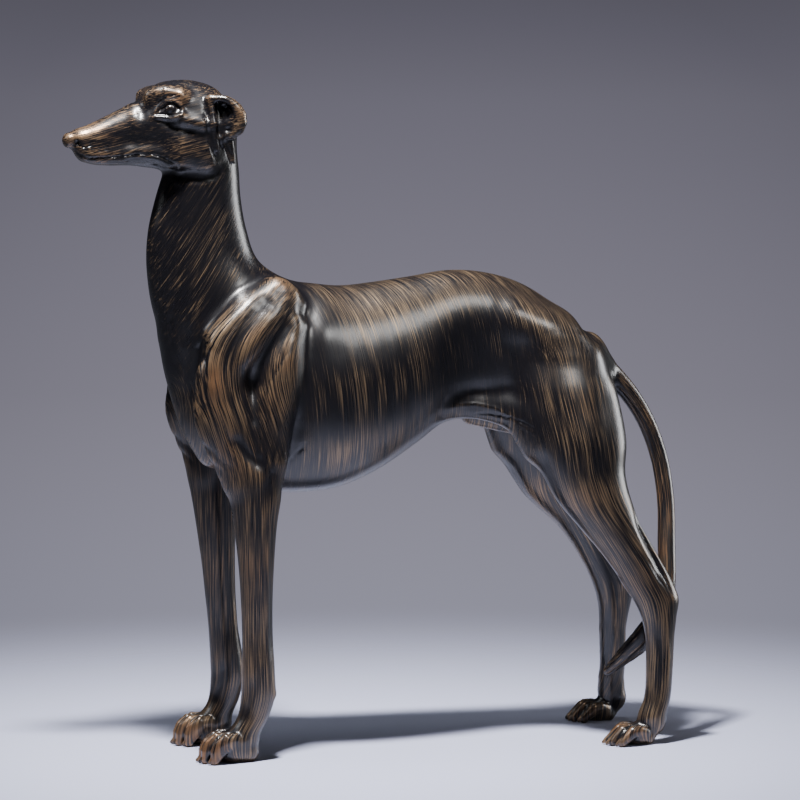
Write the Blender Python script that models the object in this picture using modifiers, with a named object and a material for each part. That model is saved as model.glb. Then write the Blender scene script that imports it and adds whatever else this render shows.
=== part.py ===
# Standing sighthound figure, cast in one piece.
# Metres, +Z up, the figure faces -X, its left side towards -Y, soles at Z = 0.
import bpy
import bmesh
import numpy as np

# Driving dimensions
HEIGHT = 0.340          # soles to crown of the skull
FORE_TRACK = 0.057      # between the middles of the two fore paws
HIND_TRACK = 0.078      # between the middles of the two hind paws
HIND_STAGGER = 0.0085   # how far the right hind paw stands behind the left one
SIDE_SWAY = 0.0023      # how far all four paws stand to the left of the body's middle
EYE_DIAMETER = 0.0062
TAIL_DIAMETER = 0.0088  # halfway down
SOLE_DEPTH = 0.0012     # taken off the paws so that the soles are flat

# Every other size below is a share of the height: one unit is height / 340
UNIT = HEIGHT / 340.0

# How finely the solid is cut
ROUGH_VOXEL = 1.7       # units
TARGET_TRIANGLES = 9300
RING_STEPS = 20
BLEND = 6.0             # how softly one form runs into the next, in units

FAR_OFF = 60.0


def along(knots, rows, s, level_ends=False):
    """Each column of rows at s, by a smooth curve through the knots."""
    slope = np.gradient(rows, knots, axis=0)
    if level_ends:
        slope[0] = 0.0
        slope[-1] = 0.0
    s = np.clip(s, knots[0], knots[-1])
    i = np.clip(np.searchsorted(knots, s) - 1, 0, len(knots) - 2)
    span = knots[i + 1] - knots[i]
    t = ((s - knots[i]) / span)[:, None]
    span = span[:, None]
    a = rows[i] * (1.0 + 2.0 * t) * (1.0 - t) ** 2
    b = slope[i] * span * t * (1.0 - t) ** 2
    c = rows[i + 1] * t ** 2 * (3.0 - 2.0 * t)
    d = slope[i + 1] * span * t ** 2 * (t - 1.0)
    return a + b + c + d


def leant(lean, z):
    """How far back a form stands at height z, from its steps of height and shift."""
    heights, shifts = zip(*lean)
    return np.interp(z, heights, shifts)


class Form:
    """A simple body that knows how far off its surface any point lies."""

    def __init__(self, side, blend):
        self.side = side
        self.blend = blend

    def own_side(self, points):
        """The points as this form sees them: folded over, flipped or as they are."""
        q = points.copy()
        if self.side == "both":
            q[:, 1] = np.abs(q[:, 1])
        elif self.side == "left":
            q[:, 1] = -q[:, 1]
        return q

    def distance(self, points):
        q = self.own_side(points)
        low, high = self.box()
        near = np.all((q > low - 30.0) & (q < high + 30.0), axis=1)
        out = np.full(len(q), FAR_OFF)
        if near.any():
            out[near] = self.gap(q[near])
        return out

    def sides(self):
        return {"both": (1.0, -1.0), "right": (1.0,), "left": (-1.0,), "mid": (1.0,)}[self.side]


class Column(Form):
    """Sections square to one axis: rows of place, low edge, high edge, y, half width."""

    def __init__(self, axis, rows, side="mid", blend=BLEND, power=2.0, cap=4.0, egg=0.0,
                 lean=None):
        super().__init__(side, blend)
        table = np.array(sorted(rows), dtype=float)
        self.axis = axis
        self.deep = 2 if axis == 0 else 0
        self.knots = table[:, 0]
        self.rows = table[:, 1:]
        self.power = power
        self.cap = cap
        self.egg = egg
        self.lean = lean

    def box(self):
        low = np.zeros(3)
        high = np.zeros(3)
        low[self.axis] = self.knots[0] - self.cap
        high[self.axis] = self.knots[-1] + self.cap
        low[self.deep] = self.rows[:, 0].min()
        high[self.deep] = self.rows[:, 1].max() + (STAGGER if self.lean else 0.0)
        low[1] = (self.rows[:, 2] - self.rows[:, 3]).min()
        high[1] = (self.rows[:, 2] + self.rows[:, 3]).max()
        return low, high

    def ratios(self, q, s, over):
        v = along(self.knots, self.rows, s, True)
        half = (v[:, 1] - v[:, 0]) / 2.0
        deep = q[:, self.deep] - (v[:, 0] + v[:, 1]) / 2.0
        if self.lean:
            deep = deep - leant(self.lean, q[:, 2])
        u = deep / half
        wide = v[:, 3] * (1.0 + self.egg * np.clip(u, -1.0, 1.0))
        w = (q[:, 1] - v[:, 2]) / wide
        n = self.power
        r = (np.abs(u) ** n + np.abs(w) ** n + np.abs(over) ** n + 1e-9) ** (1.0 / n)
        return r, u, w, half, wide

    def gap(self, q):
        s = q[:, self.axis]
        over = (s - np.clip(s, self.knots[0], self.knots[-1])) / self.cap
        r, u, w, half, wide = self.ratios(q, s, over)
        step = 0.2
        beyond = q.copy()
        beyond[:, self.axis] += step
        r2 = self.ratios(beyond, s + step, over)[0]
        n = self.power
        du = (np.abs(u) / r) ** (n - 1.0) / half
        dw = (np.abs(w) / r) ** (n - 1.0) / wide
        flat = du ** 2 + dw ** 2
        taper = np.minimum(((r2 - r) / step) ** 2, 0.5 * flat)
        dome = ((np.abs(over) / r) ** (n - 1.0) / self.cap) ** 2
        return (r - 1.0) / np.maximum(np.sqrt(flat + taper + dome), 1.0 / 45.0)

    def rings(self):
        """Closed rings of points along the axis, ends included, in own-side space."""
        count = max(6, int((self.knots[-1] - self.knots[0]) / 4.0))
        places = np.linspace(self.knots[0], self.knots[-1], count)
        ends = np.sin(np.radians([80.0, 55.0, 25.0]))
        places = np.concatenate([self.knots[0] - self.cap * ends, places,
                                 self.knots[-1] + self.cap * ends[::-1]])
        v = along(self.knots, self.rows, places, True)
        over = (places - np.clip(places, self.knots[0], self.knots[-1])) / self.cap
        shrink = np.sqrt(1.0 - over ** 2)
        turn = np.linspace(0.0, 2.0 * np.pi, RING_STEPS, endpoint=False)
        out = []
        for place, row, k in zip(places, v, shrink):
            ring = np.zeros((RING_STEPS, 3))
            u = np.cos(turn)
            w = np.sin(turn)
            n = self.power
            u = np.sign(u) * np.abs(u) ** (2.0 / n)
            w = np.sign(w) * np.abs(w) ** (2.0 / n)
            half = (row[1] - row[0]) / 2.0
            ring[:, self.axis] = place
            ring[:, self.deep] = (row[0] + row[1]) / 2.0 + half * k * u
            ring[:, 1] = row[2] + row[3] * k * w * (1.0 + self.egg * u)
            if self.lean:
                ring[:, 0] += leant(self.lean, ring[:, 2])
            out.append(ring)
        return out


class Limb(Form):
    """A bent body round a smooth line: rows of x, y, z, half width, half depth."""

    def __init__(self, rows, side="mid", blend=BLEND, lean=None):
        super().__init__(side, blend)
        table = np.array(rows, dtype=float)
        if lean:
            table[:, 0] += leant(lean, table[:, 2])
        legs = np.linalg.norm(np.diff(table[:, :3], axis=0), axis=1)
        knots = np.concatenate([[0.0], np.cumsum(legs)])
        count = max(5, int(knots[-1] / 3.0))
        count = min(count, 34)
        fine = along(knots, table, np.linspace(0.0, knots[-1], count))
        self.line = fine[:, :3]
        self.half = fine[:, 3:]
        step = np.gradient(self.line, axis=0)
        self.tangent = step / np.linalg.norm(step, axis=1)[:, None]

    def box(self):
        reach = self.half.max()
        return self.line.min(axis=0) - reach, self.line.max(axis=0) + reach

    def frame(self, tangent):
        across = np.array([0.0, 1.0, 0.0]) - tangent * tangent[:, 1:2]
        size = np.linalg.norm(across, axis=1)[:, None]
        across = across / np.maximum(size, 1e-6)
        return across, np.cross(tangent, across)

    def gap(self, q):
        best = np.full(len(q), 1e9)
        spot = np.zeros(len(q))
        for i in range(len(self.line) - 1):
            a = self.line[i]
            ab = self.line[i + 1] - a
            t = np.clip((q - a) @ ab / (ab @ ab), 0.0, 1.0)
            d = ((q - a - t[:, None] * ab) ** 2).sum(axis=1)
            closer = d < best
            best = np.where(closer, d, best)
            spot = np.where(closer, i + t, spot)
        i = np.minimum(spot.astype(int), len(self.line) - 2)
        t = (spot - i)[:, None]
        centre = self.line[i] * (1.0 - t) + self.line[i + 1] * t
        half = self.half[i] * (1.0 - t) + self.half[i + 1] * t
        tangent = self.tangent[i] * (1.0 - t) + self.tangent[i + 1] * t
        tangent = tangent / np.linalg.norm(tangent, axis=1)[:, None]
        across, deep = self.frame(tangent)
        off = q - centre
        cap = half.min(axis=1)
        u = (off * across).sum(axis=1)
        v = (off * deep).sum(axis=1)
        w = (off * tangent).sum(axis=1)
        a, b = half[:, 0], half[:, 1]
        r = np.sqrt((u / a) ** 2 + (v / b) ** 2 + (w / cap) ** 2 + 1e-9)
        slope = np.sqrt((u / a ** 2) ** 2 + (v / b ** 2) ** 2 + (w / cap ** 2) ** 2) / r
        return (r - 1.0) / np.maximum(slope, 1.0 / 45.0)

    def rings(self):
        across, deep = self.frame(self.tangent)
        turn = np.linspace(0.0, 2.0 * np.pi, 14, endpoint=False)
        ends = np.sin(np.radians([75.0, 40.0]))
        out = []
        last = len(self.line) - 1
        plan = [(0, -e) for e in ends] + [(i, 0.0) for i in range(last + 1)]
        plan = plan + [(last, e) for e in ends[::-1]]
        for i, e in plan:
            a, b = self.half[i]
            k = np.sqrt(1.0 - e * e)
            centre = self.line[i] + self.tangent[i] * e * min(a, b)
            ring = centre + np.outer(np.cos(turn) * a * k, across[i])
            out.append(ring + np.outer(np.sin(turn) * b * k, deep[i]))
        return out


class Stroke:
    """A groove (depth above nought) or a ridge (below nought) drawn along a line."""

    def __init__(self, points, width, depth, side="both"):
        self.points = np.array(points, dtype=float)
        self.width = width
        self.depth = depth
        self.side = side

    def lift(self, points):
        q = points.copy()
        if self.side == "both":
            q[:, 1] = np.abs(q[:, 1])
        elif self.side == "left":
            q[:, 1] = -q[:, 1]
        low = self.points.min(axis=0) - 3.0 * self.width
        high = self.points.max(axis=0) + 3.0 * self.width
        near = np.all((q > low) & (q < high), axis=1)
        out = np.zeros(len(q))
        if not near.any():
            return out
        q = q[near]
        best = np.full(len(q), 1e9)
        place = np.zeros(len(q))
        total = len(self.points) - 1
        for i in range(total):
            a = self.points[i]
            ab = self.points[i + 1] - a
            t = np.clip((q - a) @ ab / (ab @ ab + 1e-9), 0.0, 1.0)
            d = ((q - a - t[:, None] * ab) ** 2).sum(axis=1)
            closer = d < best
            best = np.where(closer, d, best)
            place = np.where(closer, (i + t) / total, place)
        fade = 1.0 if total == 0 else np.clip(4.0 * np.minimum(place, 1.0 - place) + 0.25, 0, 1)
        out[near] = self.depth * np.exp(-best / self.width ** 2) * fade
        return out


def dimple(centre, width, depth, side="both"):
    """A shallow round hollow, or a low swelling where depth is below nought."""
    end = [centre[0] + 0.01, centre[1], centre[2]]
    middle = Stroke([centre, end], width, depth, side)
    return middle


def blended(a, b, soft):
    """Smooth least of two distances."""
    h = np.clip(0.5 + 0.5 * (b - a) / soft, 0.0, 1.0)
    return b * (1.0 - h) + a * h - soft * h * (1.0 - h)


HALF_FORE = FORE_TRACK / UNIT / 2.0
HALF_HIND = HIND_TRACK / UNIT / 2.0
STAGGER = HIND_STAGGER / UNIT
SWAY = SIDE_SWAY / UNIT
HIND_LEAN = [(0, STAGGER), (14, STAGGER), (24, 4.4), (50, 2.2), (66, 3.2), (84, 6.6),
             (108, 6.6), (128, 1.0), (150, -2.4), (176, 0.0)]
FORE_LEAN = [(0, 1.6), (11, 1.4), (22, 0.2), (46, -0.8), (78, -3.2), (104, -4.6),
             (140, -5.4), (170, -2.0)]


def trunk_forms():
    """Rib cage, loin, rump and neck."""
    trunk = Column(0, [
        (-112, 157, 224, 0, 22), (-101, 144, 234, 0, 29),
        (-84, 135, 239.5, 0, 33), (-64, 132.8, 239.4, 0, 34.5), (-42, 135.4, 237.4, 0, 34),
        (-22, 143.8, 239.2, 0, 31.5), (-4, 155, 241.6, 0, 28), (16, 168.4, 244.4, 0, 24.5),
        (36, 171.5, 243, 0, 24.5), (56, 166, 236.8, 0, 26.5), (76, 158, 224.2, 0, 25.5),
        (93, 162, 211.4, 0, 18)], cap=12.0, egg=-0.06)
    neck = Column(2, [
        (176, -106, -92, 0, 4), (192, -123, -78, 0, 15), (206, -132.2, -70, 0, 20.5),
        (218, -137.2, -64, 0, 21.5), (230, -140.6, -66, 0, 20.5), (242, -142.4, -78, 0, 18.6),
        (252, -143, -86.4, 0, 17.2), (266, -142, -91.6, 0, 16), (282, -138.2, -94.6, 0, 15.4),
        (298, -133, -95.8, 0, 15.2), (316, -127, -99, 0, 12)], blend=12.0, cap=12.0)
    keel = Limb([(-126, 0, 210, 8, 7), (-125, 0, 196, 9, 8.4), (-119, 0, 176, 10, 9),
                 (-108, 0, 156, 11, 10)], blend=8.0)
    return [trunk, neck, keel]


def head_forms():
    """Skull, long muzzle, brows, eyes, cheeks and folded ears."""
    eye = EYE_DIAMETER / UNIT / 2.0
    skull = Column(0, [
        (-149, 303, 328.6, 0, 10.5), (-145, 301, 334.2, 0, 12.6), (-138, 299, 339, 0, 15.2),
        (-128, 297.6, 341.2, 0, 17.4), (-118, 297.6, 340.8, 0, 18.4), (-108, 300, 337.2, 0, 17.4),
        (-102, 304, 332.4, 0, 14.5)], cap=4.0, power=2.2)
    muzzle = Column(0, [
        (-182.6, 308.2, 314.4, 0, 4.2), (-178.5, 303.3, 316.6, 0, 6.0),
        (-172, 299.9, 319.3, 0, 7.4), (-163, 298.8, 323.5, 0, 8.4),
        (-153, 298.8, 328.2, 0, 10.0), (-143, 298.0, 330.6, 0, 12.6),
        (-131, 297.4, 331, 0, 15.0)], cap=1.6, power=2.3, blend=4.0, egg=0.08)
    brow = Limb([(-142.6, 8.6, 333.4, 3, 3.2), (-137.5, 11, 334.8, 3.6, 3.6),
                 (-129, 13.2, 333.2, 3.4, 3.4)], side="both", blend=5.0)
    ball = Limb([(-134.3, 14.0, 327.0, eye, eye), (-133.7, 14.0, 327.0, eye, eye)],
                side="both", blend=1.0)
    cheek = Limb([(-128, 12.5, 305, 5, 8), (-117, 13.5, 306, 5.4, 9.5)], side="both", blend=5.0)
    ear_roll = Limb([(-114, 17, 330.4, 2.4, 2.6), (-108, 19, 330.2, 2.6, 2.4),
                     (-102.8, 20, 326.2, 3.0, 3.0), (-100.2, 19.8, 321, 3.2, 3.2),
                     (-103.2, 18.6, 313, 2.8, 3.0), (-105, 17.4, 305, 1.8, 2.4),
                     (-104.8, 16.6, 300, 1.3, 1.8)], side="both", blend=2.0)
    ear_leaf = Limb([(-111, 17.8, 324, 2.2, 4.5), (-107, 18.4, 316, 2.2, 5.5),
                     (-105.5, 17.8, 308, 1.8, 3.6)], side="both", blend=2.5)
    return [skull, muzzle, brow, ball, cheek, ear_roll, ear_leaf]


def fore_forms():
    """Shoulder blades, upper arms and forelegs; the right leg stands a little forward."""
    blade = Limb([(-78, 20, 233, 8, 12), (-92, 25, 219, 10, 16), (-108, 27, 203, 10.5, 15),
                  (-114.5, 27.5, 192, 8.5, 10)], side="both", blend=7.0)
    upper = Limb([(-115, 26.5, 196, 8, 10.5), (-112, 28, 181, 9.5, 15.8),
                  (-104.6, 29, 163, 9, 17.2), (-98, 28.6, 145, 8, 14.2)], side="both", blend=7.0)
    triceps = Limb([(-76, 24, 218, 8, 10), (-80, 29, 196, 9, 12), (-85, 31, 172, 8, 10),
                    (-86.5, 31, 153, 6, 7)], side="both", blend=5.0)
    forms = [blade, upper, triceps]
    for side, lean, y in (("left", None, HALF_FORE + SWAY / 2), ("right", FORE_LEAN,
                                                                 HALF_FORE - SWAY / 2)):
        forms.append(Column(2, [
            (13, -110, -93.6, y, 7.4), (24, -104.6, -88.6, y, 7.0), (34, -102.9, -85.6, y, 7.5),
            (46, -102.6, -85.7, y, 7.3), (62, -102.3, -86.6, y, 6.7), (80, -102.8, -86.8, y, 7.2),
            (100, -104, -86, y, 8.2), (120, -106.4, -84.4, y, 9.2), (136, -108.6, -82, y, 9.6),
            (150, -109, -82, y - 1, 8.6), (166, -104, -88, y - 2, 5)],
            side=side, blend=8.0, cap=4.0, lean=lean))
    return forms


def hind_forms(side):
    """Thigh, second thigh, hock, rear pastern, flank fold and croup of one side."""
    y = HALF_HIND + (-SWAY if side == "right" else SWAY)
    lean = HIND_LEAN if side == "right" else None
    leg = Column(2, [
        (14, 105.4, 120.6, y + 0.2, 7.0), (24, 109.0, 123.0, y - 0.4, 6.2),
        (40, 110.6, 124.8, y - 1.6, 6.0), (56, 110.4, 126.0, y - 2.6, 6.2),
        (66, 108.4, 127.4, y - 3.2, 6.6), (75, 103.8, 128.8, y - 3.8, 6.8),
        (84, 97.8, 125.6, y - 4.6, 7.0), (97, 89.4, 118.4, y - 5.8, 8.0),
        (110, 78.6, 111.2, y - 7.4, 9.8), (124, 66.0, 105.2, y - 9.4, 12.2),
        (140, 57.4, 101.8, y - 12.0, 15.0), (156, 51.0, 103.2, y - 14.6, 17.0),
        (172, 47.0, 101.6, y - 17.6, 16.6), (188, 46.0, 97.6, y - 20.4, 15.0),
        (200, 50.0, 91.0, y - 24.0, 13.0), (214, 56.0, 80.0, y - 30.0, 9.0)],
        side=side, blend=9.0, cap=9.0, lean=lean)
    fold = Limb([(12, 12, 176.4, 5, 6), (30, 13, 175, 6, 7), (48, 18.6, 169.6, 7, 9),
                 (58, 23, 156, 8, 10)], side=side, blend=9.0)
    croup = Limb([(46, 13, 217, 12, 12), (64, 17, 209, 12, 13), (82, 17, 197, 10, 12)],
                 side=side, blend=8.0)
    return [leg, fold, croup]


def paw_forms(side, x, y, rise, tip_rise):
    """One paw: a pad with four arched toes, each ending in a claw."""
    out = []
    heel = 8.5 * rise
    pad = Limb([(x + heel, y, 5.4 * rise, 6.6, 5.2 * rise), (x + 1, y, 7.6 * rise, 8.8, 7.6 * rise),
                (x - 6, y, 7.2 * rise, 7.5, 6.0 * rise)], side=side, blend=4.0)
    out.append(pad)
    for place in (-1.5, -0.5, 0.5, 1.5):
        back = 3.4 * (abs(place) - 0.5)
        spread = place * 5.0
        toe = Limb([(x + back + 1, y + spread * 0.7, 9.6 * rise, 2.8, 4.0 * rise),
                    (x + back - 6, y + spread * 0.95, 10.6 * rise, 3.1, 4.1 * rise),
                    (x + back - 10.8, y + spread, 6.8 * tip_rise, 3.0, 3.6 * tip_rise),
                    (x + back - 12.4, y + spread, 3.2, 2.5, 2.6)], side=side, blend=1.6)
        out.append(toe)
    return out


def tail_forms():
    """Long tail, swept down behind the left hock and forward between the hind legs."""
    r = TAIL_DIAMETER / UNIT / 2.0
    hock = HALF_HIND + SWAY - 3.2
    rows = [(92, 0, 197.2, 7, 7.0), (100, 0, 193.2, 6.2, 6.4), (110.6, 0.026, 184.2, 5.0, 5.2),
            (122.6, 0.079, 167.2, 4.4, 4.6), (130.2, 0.157, 146, 4.4, 4.5),
            (132.2, 0.289, 124, r, r + 0.1), (130.0, 0.472, 101, r, r + 0.3),
            (127.6, 0.643, 80, r - 0.2, r + 0.3), (123.5, 0.709, 66, 4.0, 6.0),
            (116.5, 0.682, 55.6, 3.6, 6.8), (106, 0.591, 44.8, 2.9, 4.8),
            (96.5, 0.499, 35.4, 1.6, 2.4)]
    tail = Limb([(x, -share * hock, z, wide, deep) for x, share, z, wide, deep in rows],
                blend=3.0)
    root = Limb([(78, 0, 204, 11, 8.2), (90, 0, 198.4, 9, 7.2), (99, 0, 193, 6.2, 6.2)],
                blend=7.0)
    sheath = Limb([(28, 0, 169.6, 4.4, 5.0), (38, 0, 168.4, 5.4, 6.2), (52, 0, 166, 6, 7)],
                  blend=5.0)
    return [root, tail, sheath]


def carving():
    """Muscle lines, folds and the face, drawn into the blended surface."""
    return [
        Stroke([(-67, 30, 234), (-69, 33, 216), (-71, 35, 194), (-74, 36, 170),
                (-78, 36, 152)], 6.4, 2.8),
        Stroke([(-86, 27, 237), (-98, 33, 226), (-108, 36, 214), (-114, 36, 203)], 2.6, 1.7),
        Stroke([(-77, 33, 224), (-88, 37, 209), (-102, 38, 198)], 2.6, 1.7),
        Stroke([(-128, 16, 222), (-123, 25, 208), (-125, 24, 190), (-122, 24, 172)], 4.0, 2.0),
        Stroke([(-108, 36, 166), (-100, 38, 156), (-92, 38, 148)], 3.0, 1.3),
        dimple((27, 25, 202), 19.0, 4.0),
        Stroke([(49, 28, 216), (47.5, 30, 200), (50, 33, 176)], 6.0, 1.2),
        Stroke([(108, 36, 116), (113, 38, 104), (119, 40, 92), (123, 41, 80)], 2.2, 1.6),
        Stroke([(-170, 8.8, 303.5), (-160, 9.6, 301), (-148, 12.4, 301.4), (-136, 15.6, 301)],
               1.3, 1.1),
        Stroke([(-142.5, 11.5, 323.4), (-137, 15.5, 322.4), (-130, 17, 323.0)], 1.5, 0.9),
        dimple((-146.5, 10.5, 325.5), 3.2, 1.6),
        dimple((-108.6, 22, 325.6), 3.4, 3.4),
        Stroke([(-114.8, 18.8, 330), (-115.4, 19.6, 318), (-112.5, 18.6, 306)], 1.8, 1.4),
        dimple((-177.5, 6.6, 308.6), 1.6, 1.1),
    ]


def all_forms():
    """Every form of the figure, in the order in which they are blended."""
    forms = trunk_forms() + head_forms() + fore_forms()
    for side, fore_back, hind_back, sway in (("left", 0.0, 0.0, SWAY),
                                             ("right", 1.6, STAGGER, -SWAY)):
        forms += hind_forms(side)
        forms += paw_forms(side, 102.8 + hind_back, HALF_HIND + sway, 0.8, 0.72)
        forms += paw_forms(side, -109.8 + fore_back, HALF_FORE + sway / 2, 1.14, 1.14)
    return forms + tail_forms()


def surface(points, forms, strokes):
    """Signed distance of the blended, carved figure at each point, in units."""
    value = np.full(len(points), FAR_OFF)
    for form in forms:
        value = blended(value, form.distance(points), form.blend)
    for stroke in strokes:
        value = value + stroke.lift(points)
    return value


def rough_mesh(forms):
    """All forms as closed lofts in one mesh, overlapping where they meet."""
    bm = bmesh.new()
    for form in forms:
        for sign in form.sides():
            flip = -1.0 if form.side == "left" else sign
            rows = []
            for ring in form.rings():
                rows.append([bm.verts.new((x, y * flip, z)) for x, y, z in ring])
            for a, b in zip(rows, rows[1:]):
                for i in range(len(a)):
                    j = (i + 1) % len(a)
                    bm.faces.new((a[i], a[j], b[j], b[i]))
            bm.faces.new(rows[0][::-1])
            bm.faces.new(rows[-1])
    bmesh.ops.recalc_face_normals(bm, faces=bm.faces)
    mesh = bpy.data.meshes.new("figure_rough")
    bm.to_mesh(mesh)
    bm.free()
    return mesh


def remeshed(mesh):
    """One closed skin round the overlapping lofts."""
    thing = bpy.data.objects.new("figure_rough", mesh)
    bpy.context.scene.collection.objects.link(thing)
    modifier = thing.modifiers.new("Skin", "REMESH")
    modifier.mode = "VOXEL"
    modifier.voxel_size = ROUGH_VOXEL
    modifier.adaptivity = 0.0
    graph = bpy.context.evaluated_depsgraph_get()
    skin = bpy.data.meshes.new_from_object(thing.evaluated_get(graph))
    bpy.data.objects.remove(thing)
    return skin


def pressed(mesh, forms, strokes):
    """Vertices moved onto the blended, carved surface and evened out along it."""
    count = len(mesh.vertices)
    flat = np.empty(count * 3)
    mesh.vertices.foreach_get("co", flat)
    points = flat.reshape(count, 3)
    pairs = np.empty(len(mesh.edges) * 2, dtype=np.int64)
    mesh.edges.foreach_get("vertices", pairs)
    a, b = pairs.reshape(-1, 2).T
    links = np.bincount(a, minlength=count) + np.bincount(b, minlength=count)
    step = 0.3
    for turn in range(7):
        value = surface(points, forms, strokes)
        slope = np.zeros((count, 3))
        for k in range(3):
            moved = points.copy()
            moved[:, k] += step
            slope[:, k] = (surface(moved, forms, strokes) - value) / step
        size = np.linalg.norm(slope, axis=1)
        normal = slope / np.maximum(size, 1e-6)[:, None]
        shift = np.clip(value / np.maximum(size, 0.5), -3.0, 3.0)
        points = points - normal * shift[:, None]
        if turn < 5:
            mean = np.zeros((count, 3))
            for k in range(3):
                mean[:, k] = (np.bincount(a, points[b, k], count)
                              + np.bincount(b, points[a, k], count)) / links
            pull = mean - points
            pull -= normal * (pull * normal).sum(axis=1)[:, None]
            points = points + 0.6 * pull
    mesh.vertices.foreach_set("co", points.ravel())
    mesh.update()
    return mesh


def lacquer():
    """Near-black lacquer with a warm metallic cast."""
    made = bpy.data.materials.new("bronze_lacquer")
    made.use_nodes = True
    shader = made.node_tree.nodes["Principled BSDF"]
    shader.inputs["Base Color"].default_value = (0.070, 0.052, 0.040, 1.0)
    shader.inputs["Metallic"].default_value = 0.35
    shader.inputs["Roughness"].default_value = 0.32
    return made


def shade_smooth(mesh):
    for face in mesh.polygons:
        face.use_smooth = True


def floor_cutter(collection):
    """A block whose top face levels the soles."""
    mesh = bpy.data.meshes.new("floor_cutter")
    bm = bmesh.new()
    bmesh.ops.create_cube(bm, size=1.0)
    for vert in bm.verts:
        vert.co.x = vert.co.x * 0.6
        vert.co.y = vert.co.y * 0.4
        vert.co.z = vert.co.z * 0.06 - 0.03
    bm.to_mesh(mesh)
    bm.free()
    cutter = bpy.data.objects.new("floor_cutter", mesh)
    cutter.hide_render = True
    cutter.display_type = "WIRE"
    collection.objects.link(cutter)
    return cutter


def thinned(mesh):
    """The skin brought down to large facets, measured off its own extent.

    Returns the mesh in metres, middle of its length and width at X = Y = 0,
    the level of the soles at Z = 0.
    """
    thing = bpy.data.objects.new("figure_thinned", mesh)
    bpy.context.scene.collection.objects.link(thing)
    faces = sum(len(face.vertices) - 2 for face in mesh.polygons)
    thin = thing.modifiers.new("Facets", "DECIMATE")
    thin.decimate_type = "COLLAPSE"
    thin.ratio = min(1.0, TARGET_TRIANGLES / faces)
    thin.use_collapse_triangulate = True
    graph = bpy.context.evaluated_depsgraph_get()
    coarse = bpy.data.meshes.new_from_object(thing.evaluated_get(graph))
    bpy.data.objects.remove(thing)
    flat = np.empty(len(coarse.vertices) * 3)
    coarse.vertices.foreach_get("co", flat)
    points = flat.reshape(-1, 3) * UNIT
    points[:, 2] -= SOLE_DEPTH
    middle = (points.min(axis=0) + points.max(axis=0)) / 2.0
    points[:, 0] -= middle[0]
    points[:, 1] -= middle[1]
    coarse.vertices.foreach_set("co", points.ravel())
    coarse.update()
    return coarse


def build():
    """The whole figure as one solid."""
    for old in list(bpy.data.objects):
        bpy.data.objects.remove(old)
    parts = bpy.data.collections.new("whippet_figurine")
    cutters = bpy.data.collections.new("cutters")
    bpy.context.scene.collection.children.link(parts)
    bpy.context.scene.collection.children.link(cutters)
    forms = all_forms()
    mesh = thinned(pressed(remeshed(rough_mesh(forms)), forms, carving()))
    mesh.name = "whippet"
    mesh.materials.clear()
    mesh.materials.append(lacquer())
    figure = bpy.data.objects.new("whippet", mesh)
    parts.objects.link(figure)
    level = figure.modifiers.new("Soles", "BOOLEAN")
    level.operation = "DIFFERENCE"
    level.solver = "EXACT"
    level.object = floor_cutter(cutters)
    shade_smooth(mesh)


build()
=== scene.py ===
"""A standing whippet figurine in brushed bronze lacquer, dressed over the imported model.

Inside the figure lengths are millimetres of a dog 340 mm tall: x runs back from the chest,
y to its right, z up. The finished mesh is moved to the model's own place in metres.
"""

import logging
import math
from dataclasses import dataclass, field
from enum import Enum
from typing import ClassVar, List, Optional, Sequence, Tuple

import bmesh
import bpy
import numpy as np
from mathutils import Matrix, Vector


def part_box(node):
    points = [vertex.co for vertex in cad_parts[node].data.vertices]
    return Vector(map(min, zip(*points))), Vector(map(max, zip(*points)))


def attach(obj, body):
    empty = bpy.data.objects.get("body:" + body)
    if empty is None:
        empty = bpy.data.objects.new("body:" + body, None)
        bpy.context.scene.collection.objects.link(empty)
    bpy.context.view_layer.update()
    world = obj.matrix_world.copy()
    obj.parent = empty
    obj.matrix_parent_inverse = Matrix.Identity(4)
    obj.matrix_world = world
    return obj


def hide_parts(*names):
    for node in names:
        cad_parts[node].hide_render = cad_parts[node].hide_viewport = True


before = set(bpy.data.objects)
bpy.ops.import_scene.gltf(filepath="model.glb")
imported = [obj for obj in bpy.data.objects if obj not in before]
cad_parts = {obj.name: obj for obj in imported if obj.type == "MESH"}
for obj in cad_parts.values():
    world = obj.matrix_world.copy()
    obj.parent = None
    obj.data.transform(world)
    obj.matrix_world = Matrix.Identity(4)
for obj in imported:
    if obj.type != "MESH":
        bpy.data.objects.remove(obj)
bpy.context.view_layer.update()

LOG = logging.getLogger("whippet")
Array = np.ndarray
Rows = Sequence[Sequence[float]]

NODE = "whippet"
BODY = "root"
SLOT = "bronze_lacquer"
PIECE = "whippet_casting"
FAR_OFF = 60.0            # distance given where no form is near
WORKED_ROUND = 30.0       # how far round its box a form's distance is worked out
LEAST_SLOPE = 1.0 / 45.0  # keeps the worked-out distances finite inside a form
TINY = 1e-9               # keeps a share finite where a length is nought
COARSE = 9.0              # an edge length that asks for no finer mesh


class Side(Enum):
    """Which half of the dog a form or a stroke belongs to."""

    MIDDLE = "middle"
    BOTH = "both"
    LEFT = "left"
    RIGHT = "right"

    def folded(self, points: Array) -> Array:
        """Points as this half sees them, its own half turned to y above nought.

        Args:
            points: places, one row each.

        Returns:
            A changed copy.
        """
        seen = points.copy()
        if self is Side.BOTH:
            seen[:, 1] = np.abs(seen[:, 1])
        elif self is Side.LEFT:
            seen[:, 1] = -seen[:, 1]
        return seen

    @property
    def signs(self) -> Tuple[float, ...]:
        """The y signs under which a form of this half is made."""
        return {Side.BOTH: (1.0, -1.0), Side.LEFT: (-1.0,)}.get(self, (1.0,))


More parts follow.
